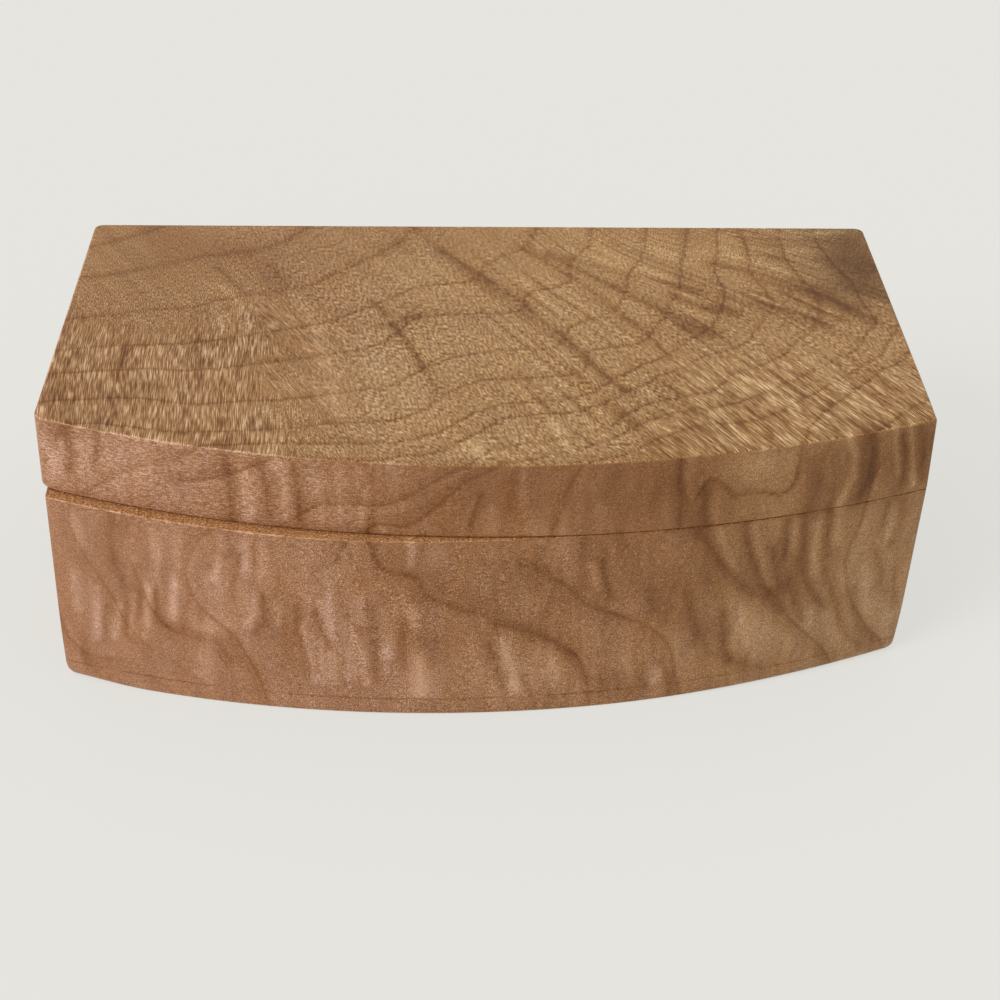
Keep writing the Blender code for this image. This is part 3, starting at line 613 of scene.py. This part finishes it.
def streak_tone(across, up, streaks):
    """Sum of the streaks' tones at each place of a face: narrow dark ones are sharp creases, others soft."""
    total = np.zeros(len(across))
    for tone, half, *points in streaks:
        far = np.full(len(across), 1e9)
        pairs = np.array(points, float)
        reach = 4 * half
        near = ((across > pairs[:, 0].min() - reach) & (across < pairs[:, 0].max() + reach)
                & (up > pairs[:, 1].min() - reach) & (up < pairs[:, 1].max() + reach))
        here = np.stack([across[near], up[near]], 1)
        best = np.full(len(here), 1e9)
        for a, b in zip(pairs, pairs[1:]):
            run = b - a
            share = np.clip(((here - a) @ run) / (run @ run), 0, 1)
            best = np.minimum(best, ((here - a - share[:, None] * run) ** 2).sum(1))
        far[near] = best
        if tone < 0 and half < CREASE_UNDER:
            total += tone * (CREASE * np.exp(-CREASE_FALL * np.sqrt(far) / half))
        else:
            total += tone * np.exp(-far / half ** 2)
    return total


def grain_line(x, y):
    """A distance across the slanting fibres, which turn towards the right back corner."""
    return x + 0.55 * y - 0.006 * np.maximum(y - 48, 0) ** 2 * ease(x, 5, 45)


def ray_line(x, y):
    """A distance across the rays of the top, which spread apart behind its middle."""
    return x + 0.55 * y + 0.012 * np.maximum(y - 35, 0) ** 2 * ease(x, 0, 45)


def set_figure(mesh):
    """Stores the figure at each point of a finished wooden mesh, with the masks of its edges and of the
    painted shade under the lid.
    """
    count = len(mesh.vertices)
    points, normals = np.empty(count * 3), np.empty(count * 3)
    mesh.vertices.foreach_get("co", points)
    mesh.vertex_normals.foreach_get("vector", normals)
    points = points.reshape(-1, 3) / MM - np.array([0, PLAN_TO_MIDDLE, 0])
    normals = normals.reshape(-1, 3)
    x, y, z = points.T
    growth, spacing = growth_at(points, normals)
    behind_front = y - bow(np.clip(x, -WIDTH / 2, WIDTH / 2))
    near_top = np.exp(-((TOP_Z - z) / TOP_FIGURE_DEPTH) ** 2)
    near_front = np.exp(-(np.maximum(behind_front, 0) / FRONT_FIGURE_DEPTH) ** 2)
    streaks = near_top * streak_tone(x, y, TOP_STREAKS) + near_front * CURL_AND_SHEEN * streak_tone(x, z, FRONT_STREAKS)
    upright = np.hypot(normals[:, 0], normals[:, 1])
    at_glue = (np.abs(z - GLUE_Z) < 0.05) & (upright > 0.3)
    at_arris = ease(np.minimum(np.abs(normals[:, 2]), upright), 0.15, 0.65)
    in_groove = (y > AXIS_Y - PLAN_TO_MIDDLE - RECESS_REACH - 1) & (np.abs(z - AXIS_Z) < 5)
    values = {
        "growth": growth,
        "ring_gap": spacing,
        "streak": streaks,
        "grain_line": grain_line(x, y),
        "ray_line": ray_line(x, y),
        "level_face": np.where(at_glue, 0, ease(np.abs(normals[:, 2]), 0.55, 0.85)),
        "side_face": ease(np.abs(normals[:, 0]), 0.6, 0.9),
        "edge": np.where(in_groove | at_glue, 0, at_arris),
        "sawn": (ease(normals[:, 2], 0.8, 0.95) * ease(z, RIM_Z - 0.9, RIM_Z - 0.3)
                 * (1 - ease(z, RIM_Z + 0.2, RIM_Z + 0.5)) * (1 - 0.55 * ease(behind_front, 0.5, 4))),
        # Painted shade: the ledge darkens just under the lid's front edge, where the lid shades it.
        "painted_shade_under_lid": (ease(behind_front, -0.60, 0.05) * ease(z, RIM_Z - 0.3, RIM_Z - 0.1)
                      * (1 - ease(z, RIM_Z + 0.1, RIM_Z + 0.2))),
        "plain": 1 - np.maximum(near_top, near_front),
    }
    for name, value in values.items():
        mesh.attributes.new(name, "FLOAT", "POINT").data.foreach_set("value", value.astype(np.float32))


# Finishes

PALE = (0.791, 0.783, 0.745, 1)
GROUND_EVEN = 0.78


class Wire:
    """A number in a finish's node tree, which adds a Math node for each sum it is used in."""

    def __init__(self, finish, socket):
        self.finish, self.socket = finish, socket

    def maths(self, operation, first, second):
        return self.finish.node("ShaderNodeMath", {"operation": operation}, {0: first, 1: second})

    def __add__(self, other):
        return self.maths("ADD", self, other)

    def __sub__(self, other):
        return self.maths("SUBTRACT", self, other)

    def __rsub__(self, other):
        return self.maths("SUBTRACT", other, self)

    def __mul__(self, other):
        return self.maths("MULTIPLY", self, other)

    def __truediv__(self, other):
        return self.maths("DIVIDE", self, other)

    def __rpow__(self, other):
        return self.maths("POWER", other, self)

    __radd__ = __add__
    __rmul__ = __mul__


class Finish:
    """A material whose nodes are added one by one."""

    def __init__(self, name):
        self.material = bpy.data.materials.new(name)
        self.material.use_nodes = True
        self.tree = self.material.node_tree
        self.shader = self.tree.nodes["Principled BSDF"]

    def node(self, kind, settings=None, values=None, output=0):
        """Adds a node with its settings and its sockets' values or links, and returns one of its outputs."""
        made = self.tree.nodes.new(kind)
        for name, setting in (settings or {}).items():
            setattr(made, name, setting)
        for name, value in (values or {}).items():
            self.feed(made.inputs[name], value)
        return Wire(self, made.outputs[output])

    def feed(self, socket, value):
        if isinstance(value, Wire):
            self.tree.links.new(value.socket, socket)
        else:
            socket.default_value = value

    def set(self, **values):
        for name, value in values.items():
            self.feed(self.shader.inputs[name.replace("_", " ").title()], value)

    def place(self):
        """The point on the piece, in millimetres."""
        here = self.node("ShaderNodeTexCoord", output="Object")
        return self.node("ShaderNodeVectorMath", {"operation": "SCALE"}, {0: here, "Scale": 1 / MM})

    def parts(self, vector):
        made = self.tree.nodes.new("ShaderNodeSeparateXYZ")
        self.tree.links.new(vector.socket, made.inputs[0])
        return [Wire(self, socket) for socket in made.outputs]

    def vector(self, x, y, z):
        return self.node("ShaderNodeCombineXYZ", values={0: x, 1: y, 2: z})

    def attribute(self, name):
        return self.node("ShaderNodeAttribute", {"attribute_name": name}, output="Fac")

    def noise(self, vector, scale=1.0, detail=2.0, roughness=0.5):
        """Noise about zero, from about -0.5 to 0.5."""
        return self.node("ShaderNodeTexNoise", values={"Vector": vector, "Scale": scale, "Detail": detail,
                                                       "Roughness": roughness}) - 0.5

    def fade(self, value, low, high, start=0.0, end=1.0):
        """Smooth step of a value from one number to another."""
        return self.node("ShaderNodeMapRange", {"interpolation_type": "SMOOTHSTEP"},
                         {"Value": value, "From Min": low, "From Max": high, "To Min": start, "To Max": end})

    def blend(self, factor, first, second):
        """Colour between two colours."""
        return self.node("ShaderNodeMix", {"data_type": "RGBA"}, {0: factor, 6: first, 7: second}, output=2)

    def tinted(self, colour, tint):
        return self.node("ShaderNodeVectorMath", {"operation": "MULTIPLY"}, {0: colour, 1: tint})

    def absolute(self, value):
        return self.node("ShaderNodeMath", {"operation": "ABSOLUTE"}, {0: value})

    def relief(self, height, strength, distance):
        values = {"Strength": strength, "Distance": distance, "Height": height}
        return self.node("ShaderNodeBump", values=values)


def wood_finish():
    """Oiled figured wood, whose rings, curl and streaks come from the block's own figure; the curl's bars are
    partly painted sheen, and the edges and the ledge under the lid carry painted highlight and shade.
    """
    wood = Finish("figured_wood")
    fade, noise, vector = wood.fade, wood.noise, wood.vector
    place = wood.place()
    x, y, z = wood.parts(place)
    growth, ring_gap, streak = map(wood.attribute, ("growth", "ring_gap", "streak"))
    grain, level_face, side_face = map(wood.attribute, ("grain_line", "level_face", "side_face"))
    edge, sawn, plain = map(wood.attribute, ("edge", "sawn", "plain"))
    upright = 1 - level_face

    # Fibres of the top: long ones near its front, short flecks elsewhere, and dark pores among them.
    # They run straight back at the left and slant to the right of there.
    towards_front = fade(y + x * 0.14 + noise(place, 0.05, 2) * 40, 14, -16)
    off_middle = fade(wood.absolute(x + noise(place, 0.04, 1) * 40), 22, 46)
    long_share = towards_front * off_middle * fade(x, -20, 20, 0.88, 0.7) + 0.08
    sway = noise(place, 0.03, 1) * 2.5

    def fibres(across):
        def laid(width, length, detail=1):
            return noise(vector(across / width, y / length, z / width), 1, detail, 0.4)
        bundle = noise(vector(across / 1.5, growth * 1.4, z / 30), 1, 1)
        longs = fade(laid(0.20, 5.0), -0.13, 0.13, -0.37, 0.29) + laid(0.55, 3.4) * 0.85 + bundle * 0.9
        shorts = fade(laid(0.20, 1.1), -0.13, 0.13, -0.52, 0.40) + laid(0.60, 3.2) * 0.45
        pores = fade(laid(0.30, 1.7, 0), -0.12, -0.30) * 0.16
        return longs * long_share + shorts * (1 - long_share) - pores

    border = noise(place, 0.07, 2) * 40 + noise(vector(x / 1.2, y / 8, z), 1, 2) * 34
    slanting = fade(x + y * 0.3 + border, -53, -43)
    crisp = (1.30 - fade(y, -10, 45) * 0.46 - fade(y, 5, 30) * fade(x, -45, -70) * 0.25
             + fade(y, -5, -18) * fade(x, 22, 40) * 0.42
             + fade(x, 15, -20) * fade(x, -68, -52) * fade(y, -25, 0) * 0.22
             - fade(x, -30, -5) * fade(x, 60, 40) * 0.08)
    straight_fibres, slanting_fibres = fibres(x + y * 0.05 + sway), fibres(grain + sway)
    top_texture = (straight_fibres * (1 - slanting) + slanting_fibres * slanting) * crisp

    # Dashes and dots where the fibres come out of the bowed front
    dash = fade(noise(vector(x / 1.1, y / 1.1, z / 0.27), 1, 1, 0.4), -0.13, 0.13, -0.5, 0.5)
    on_lid = fade(z, 38, 46) * fade(x, 15, -50)
    dot = noise(place, 3.9, 0)
    front_crisp = (1.15 - fade(x, -5, 65) * 0.42 - fade(x, -40, -80) * (1 - on_lid) * 0.2
                   + fade(z, 44, 40) * fade(x, -60, -20) * 0.45
                   + fade(z, 42, 46) * fade(x, 20, 50) * 0.35)
    front_texture = (dash * (on_lid * 0.22 + 0.11) + dot * 0.95) * front_crisp
    texture = top_texture * level_face + front_texture * upright

    # Growth rings: a thin dark line on each whole level, with a soft shade on its near side
    jagged = noise(vector((grain + sway) / 0.8, y / 9, z / 3), 1, 2) * level_face * 1.9
    wander = noise(place, 0.35, 3) * (level_face * 1.1 + 0.5)
    turns = growth + (jagged + wander) / ring_gap
    off_ring = (turns - wood.node("ShaderNodeMath", {"operation": "ROUND"}, {0: turns})) * ring_gap
    paling = upright * fade(x, -25, -55) * 0.4 + 0.4
    faint = (1 - fade(noise(place, 0.07, 2), 0.15, -0.13) * paling) * fade(ring_gap, WIDEST_RINGS, 25)
    hazy = fade(y - x * 0.4, 18, 58) * level_face
    ring_line = fade(wood.absolute(off_ring), 0.62, 0.05) * (1 - hazy * 0.72)
    ring_shade = fade(off_ring, upright * -2.0 - 2.6, -0.1) * fade(off_ring, 1.2, 0.0)
    ring_haze = fade(wood.absolute(off_ring), 2.6, 0.1) * hazy
    rings = (ring_line * (upright * 0.15 - 0.33) - ring_shade * (0.14 + upright * 0.03)
             - ring_haze * 0.13) * faint

    # Ripple that crosses the grain, slow changes of tone, and the streaks where they break up; the front's
    # curl bars are partly painted sheen
    ripple_top = noise(vector(grain / 6, y / 34, z / 20), 1, 3) * 0.50
    ray = noise(vector(wood.attribute("ray_line") / 1.7, y / 50, z / 30), 1, 2)
    rays = fade(ray, -0.02, -0.18, 0.0, 0.20) - fade(ray, 0.01, 0.15, 0.0, 0.36)
    ripple_top = ripple_top + rays * fade(x, -30, 15, 0.2, 1.0) * fade(noise(place, 0.05, 1), -0.12, 0.03)
    ripple_front = noise(vector(x / 4.2 + noise(place, 0.1, 1) * 2, y / 40, z / 24), 1, 3, 0.55) * 0.5
    # Curl bars on the front: partly the wood's own tone, partly a painted sheen of its chatoyance
    curl_and_sheen = noise(vector(x / 2.1 + noise(place, 0.08, 1) * 3, y / 40, z / 13), 1, 1)
    ripple_front = ripple_front + curl_and_sheen * fade(noise(place, 0.045, 1), -0.08, 0.10, 0.15, 0.60)
    ripple_side = noise(vector(x / 40, y / 4.6 + noise(place, 0.1, 1) * 2, z / 28), 1, 3) * 0.70
    ripple = ripple_top * level_face + (ripple_side * side_face + ripple_front * (1 - side_face)) * upright
    drift = noise(place, 0.03, 2) * 0.35
    broken = 1 + noise(vector(x / 2.2, y / 7, z / 7), 1, 2) * 0.7
    tone = texture + rings + streak * broken * 1.5 + ripple * (plain * 0.8 + 0.8) + drift

    # The sawn ledge under the lid with the lid's painted shade on it, the edges lightened by wear and by a
    # painted highlight, and the glue line
    raw = noise(place, 2.1, 2, 0.7) * 3.0 - 0.02
    # The ledge is darkened under the lid's edge as a painted shade.
    tone = tone * (1 - sawn * 0.8) + sawn * raw - wood.attribute("painted_shade_under_lid") * 0.25
    # Edges lighter from wear and from a painted highlight, strongest at the left end and again at the right
    # end.
    wear_and_highlight = edge * fade(noise(place, 0.2, 3), -0.16, 0.10, 0.35, 1.0)
    tone = tone + wear_and_highlight * (fade(x, -50, 10, 0.48, 0.14) + fade(x, 60, 80) * 0.22)
    glue = fade(wood.absolute(z - GLUE_Z - 0.15), 0.32, 0.05)
    tone = tone - glue * fade(noise(place, 0.12, 2), -0.1, 0.1, 0.08, 0.30)
    tone = wood.node("ShaderNodeClamp", values={0: tone, "Min": -1.2, "Max": 0.6})

    # Colour, from rosy at the left to olive on the front's right and golden on the top's, greyer at the top's
    # right end as a painted sheen
    rosy, tawny, olive = (0.376, 0.183, 0.095, 1), (0.305, 0.142, 0.059, 1), (0.345, 0.183, 0.076, 1)
    top_rosy, golden, grey_sheen = (0.366, 0.190, 0.078, 1), (0.402, 0.221, 0.084, 1), (0.355, 0.219, 0.097, 1)
    fresh_cut = (0.420, 0.200, 0.078, 1)
    patch = (noise(vector(grain / 3.2, y / 15, z / 12), 1, 2) * level_face
             + noise(vector(x / 3.6, y / 12, z / 12), 1, 2) * upright)
    along = x + noise(place, 0.035, 1) * 50 + patch * 50
    front_colour = wood.blend(fade(along, 20, 80), wood.blend(fade(along, -60, 5), rosy, tawny), olive)
    top_colour = wood.blend(fade(along, -70, 20), top_rosy, golden)
    # Painted sheen: the top turns greyer towards its right end.
    top_colour = wood.blend(fade(x, 60, 84) * fade(y, 5, 25), top_colour, grey_sheen)
    colour = wood.blend(sawn, wood.blend(level_face, front_colour, top_colour), fresh_cut)
    shade = vector(2.8 ** tone * (1 + patch * 0.14), 4.3 ** tone, 8.4 ** tone * (1 - patch * 0.25))

    wood.set(base_color=wood.tinted(colour, shade), roughness=0.46 + texture * 0.10 + sawn * 0.3,
             normal=wood.relief(texture * 0.35 + rings * 0.5 + sawn * raw, 0.25, 0.00025))
    wood.shader.inputs["Specular IOR Level"].default_value = 0.25
    return wood.material


def felt_finish():
    """Wool felt: matted fibres, a little fluff and uneven depth of colour."""
    felt = Finish("felt")
    place = felt.place()
    x, y, z = felt.parts(place)
    mat = felt.noise(place, 2.0, 4, 0.75)
    clump = felt.noise(place, 0.16, 2)
    swirl = felt.noise(place, 0.35, 2) * 3.5
    straight = felt.noise(felt.vector((x + swirl) / 0.17, (y - swirl) / 1.7, z), 1, 1)
    crossing = felt.noise(felt.vector((x - swirl) / 1.7, (y + swirl) / 0.17, z), 1, 1)
    hairs = felt.fade(straight, 0.05, 0.2) + felt.fade(crossing, 0.05, 0.2)
    deep, bright, hair = (0.072, 0.017, 0.013, 1), (0.170, 0.046, 0.034, 1), (0.25, 0.085, 0.062, 1)
    colour = felt.blend(felt.fade(mat + clump * 0.4, -0.25, 0.3), deep, bright)
    felt.set(base_color=felt.blend(hairs * 0.4, colour, hair),
             roughness=0.92 + mat * 0.1, normal=felt.relief(mat + hairs * 0.3, 0.7, 0.0004))
    felt.shader.inputs["Sheen Weight"].default_value = 0.35
    felt.shader.inputs["Sheen Roughness"].default_value = 0.5
    return felt.material


def brass_finish(name, colour, polish):
    """Rolled brass, brushed along its length and dulled in patches."""
    brass = Finish(name)
    place = brass.place()
    x, y, z = brass.parts(place)
    brushed = brass.noise(brass.vector(x / 7, y / 0.12, z / 0.12), 1, 3, 0.7)
    patch = brass.fade(brass.noise(place, 0.35, 3, 0.6), -0.05, 0.22)
    dull = tuple(part * share for part, share in zip(colour, (0.62, 0.55, 0.45))) + (1,)
    bright = tuple(part * 1.12 for part in colour) + (1,)
    shade = brass.blend(brass.fade(brushed, -0.3, 0.3), colour + (1,), bright)
    brass.set(base_color=brass.blend(patch * 0.7, shade, dull),
              roughness=polish + patch * 0.22 + brushed * 0.12, normal=brass.relief(brushed, 0.15, 0.00005))
    brass.shader.inputs["Metallic"].default_value = 1
    return brass.material


def ground_finish():
    """Pale paper under the box: even to the camera, but it keeps the shadow."""
    ground = Finish("pale_ground")
    rays = ground.tree.nodes.new("ShaderNodeLightPath")
    kinds = ("Is Camera Ray", "Is Glossy Ray", "Is Transmission Ray")
    seen = [Wire(ground, rays.outputs[kind]) for kind in kinds]
    glow = ground.node("ShaderNodeEmission", values={"Color": PALE, "Strength": 1.0})
    matt = ground.node("ShaderNodeBsdfDiffuse", values={"Color": PALE})
    grain = ground.noise(ground.place(), 0.02, 2)
    even = (seen[0] + seen[1] + seen[2]) * (GROUND_EVEN + grain * 0.01)
    mixed = ground.node("ShaderNodeMixShader", values={0: even, 1: matt, 2: glow})
    ground.tree.links.new(mixed.socket, ground.tree.nodes["Material Output"].inputs["Surface"])
    return ground.material


# Pieces

def add(name, mesh, body, slot, finish, *nodes):
    """A piece at the origin that rides on a body and stands for the named nodes."""
    piece = bpy.data.objects.new(name, mesh)
    bpy.context.scene.collection.objects.link(piece)
    mesh.materials.clear()
    mesh.materials.append(finish)
    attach(piece, body)
    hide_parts(*nodes)
    return piece


def lid_wood():
    """The lid, whose front hangs lower by most of the seam's gap and whose front corners are worn."""
    flat = lid_plan(TOP_Z, 0.0, STEP)[0]
    x, y = flat.T
    by_left_corner = np.exp(-((x + WIDTH / 2) ** 2 + y ** 2) / 9)
    by_right_corner = np.exp(-((x - WIDTH / 2) ** 2 + y ** 2) / 30)
    lowered = (LID_LOWERED + LID_LOWERED_RIGHT * ease(x, 40, 86)) * (1 - ease(y, 40, 60))
    wall = rounded_wall(flat, SEAM_Z - lowered, TOP_Z, LID_ARRIS + 0.6 * by_left_corner,
                        LID_ARRIS + 0.35 * by_right_corner, STEP)
    return cut(block(lid_plan, wall, STEP, "lid_wood"), [stop_cutter(1)] + hinge_cutters(), "lid_wood")


def base_wood():
    """The hollowed block with its rim's chipped edge."""
    flat = base_plan(RIM_Z, 0.0, STEP)[0]
    chipped = RIM_ARRIS * (1 + 0.7 * np.sin(flat[:, 0] * 1.9) * np.sin(flat[:, 0] * 0.73 + 1))
    wall = rounded_wall(flat, GLUE_Z, RIM_Z, 0.0, chipped, STEP)
    well = block(well_plan, flared_wall(GLUE_Z - OVERRUN, RIM_Z, WELL_ARRIS), COARSE, "well")
    cutters = [well, stop_cutter(-1)] + hinge_cutters()
    return cut(block(base_plan, wall, STEP, "base_wood"), cutters, "base_wood")


def bottom_wood():
    """The slice under the base, its lower edge worn towards the front corners."""
    flat = base_plan(0.0, 0.0, STEP)[0]
    x, y = flat.T
    towards_front = 1 - ease(y, 10, 40)
    to_left, to_right = ease(x, -70, -89) * towards_front, ease(x, 20, 88) * towards_front
    wall = rounded_wall(flat, 0.0, GLUE_Z, FOOT_ARRIS + 1.6 * to_left + 1.3 * to_right, 0.0, STEP)
    return block(base_plan, wall, STEP, "bottom_wood")


def felt_lining():
    """Felt laid on the well's floor, its upper edge soft."""
    def lining_plan(z, inward, step):
        return well_plan(z, inward + LINING_GAP, step)
    flat = lining_plan(GLUE_Z, 0.0, COARSE)[0]
    wall = rounded_wall(flat, LINING_LOW_Z, LINING_TOP_Z, 0.0, LINING_ROUND, COARSE)
    return block(lining_plan, wall, COARSE, "felt_lining")


wood = wood_finish()
for name, make, body, node in (("lid_wood", lid_wood, "lid", "lid_block"),
                               ("base_wood", base_wood, "base", "base_body"),
                               ("bottom_wood", bottom_wood, "base", "base_bottom")):
    shape = make()
    set_figure(shape)
    add(name, shape, body, "figured_wood", wood, node)

felt = add("felt_lining", felt_lining(), "base", "felt", felt_finish(), "base_lining")

brass = brass_finish("hinge_brass", (0.70, 0.50, 0.22), 0.30)
screw_brass = brass_finish("screw_brass", (0.62, 0.44, 0.18), 0.34)
for name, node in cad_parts.items():
    if name.startswith("hinge_"):
        node.data.materials.clear()
        node.data.materials.append(screw_brass if "screw" in name else brass)


# Ground, light and camera

GROUND_SIZE = 6.0
ground_mesh = bpy.data.meshes.new("ground")
half = GROUND_SIZE / 2
ground_mesh.from_pydata([(x, y, 0) for x, y in rectangle((-half, -half), (half, half))], [], [(0, 1, 2, 3)])
ground = bpy.data.objects.new("ground", ground_mesh)
bpy.context.scene.collection.objects.link(ground)
ground_mesh.materials.append(ground_finish())


def daylight(name, place, strength, spread):
    """Soft light that falls evenly on everything from the side of a place."""
    light = bpy.data.lights.new(name, "SUN")
    light.energy, light.angle = strength, math.radians(spread)
    holder = bpy.data.objects.new(name, light)
    bpy.context.scene.collection.objects.link(holder)
    holder.location = place
    holder.rotation_euler = (-Vector(place)).to_track_quat("-Z", "Y").to_euler()


def surroundings(strength):
    """Even light from all round, and the same pale tone behind the box in every view."""
    world = bpy.data.worlds.new("surroundings")
    bpy.context.scene.world = world
    world.use_nodes = True
    nodes, links = world.node_tree.nodes, world.node_tree.links
    rays = nodes.new("ShaderNodeLightPath")
    light, seen = nodes["Background"], nodes.new("ShaderNodeBackground")
    light.inputs["Color"].default_value = (1.0, 0.99, 0.97, 1)
    light.inputs["Strength"].default_value = strength
    seen.inputs["Color"].default_value = PALE
    mix = nodes.new("ShaderNodeMixShader")
    links.new(rays.outputs["Is Camera Ray"], mix.inputs[0])
    links.new(light.outputs[0], mix.inputs[1])
    links.new(seen.outputs[0], mix.inputs[2])
    links.new(mix.outputs[0], nodes["World Output"].inputs["Surface"])


surroundings(0.50)
daylight("window_left", (-0.75, -0.55, 0.60), 1.75, 32)
daylight("sky_above", (0.10, 0.05, 0.95), 0.60, 80)

# The camera stands where the photograph was taken: place in metres, turn, tilt and lean in radians
CAMERA_AT = (-0.00968, -0.38505, 0.26705)
CAMERA_TURN = 0.03524
CAMERA_TILT = 0.57334
CAMERA_LEAN = -0.02015
CAMERA_LENS = 73.752


def photo_camera():
    camera = bpy.data.cameras.new("camera")
    camera.lens, camera.sensor_width = CAMERA_LENS, 36.0
    camera.clip_start, camera.clip_end = 0.01, 100
    holder = bpy.data.objects.new("camera", camera)
    bpy.context.scene.collection.objects.link(holder)
    across, along = math.sin(CAMERA_TURN), math.cos(CAMERA_TURN)
    ahead = Vector((across * math.cos(CAMERA_TILT), along * math.cos(CAMERA_TILT), -math.sin(CAMERA_TILT)))
    level_right = Vector((along, -across, 0))
    level_down = ahead.cross(level_right)
    right = math.cos(CAMERA_LEAN) * level_right + math.sin(CAMERA_LEAN) * level_down
    down = math.cos(CAMERA_LEAN) * level_down - math.sin(CAMERA_LEAN) * level_right
    turn = Matrix((right, -down, -ahead)).transposed().to_4x4()
    holder.matrix_world = Matrix.Translation(CAMERA_AT) @ turn
    bpy.context.scene.camera = holder


photo_camera()
bpy.context.scene.view_settings.view_transform = "Standard"
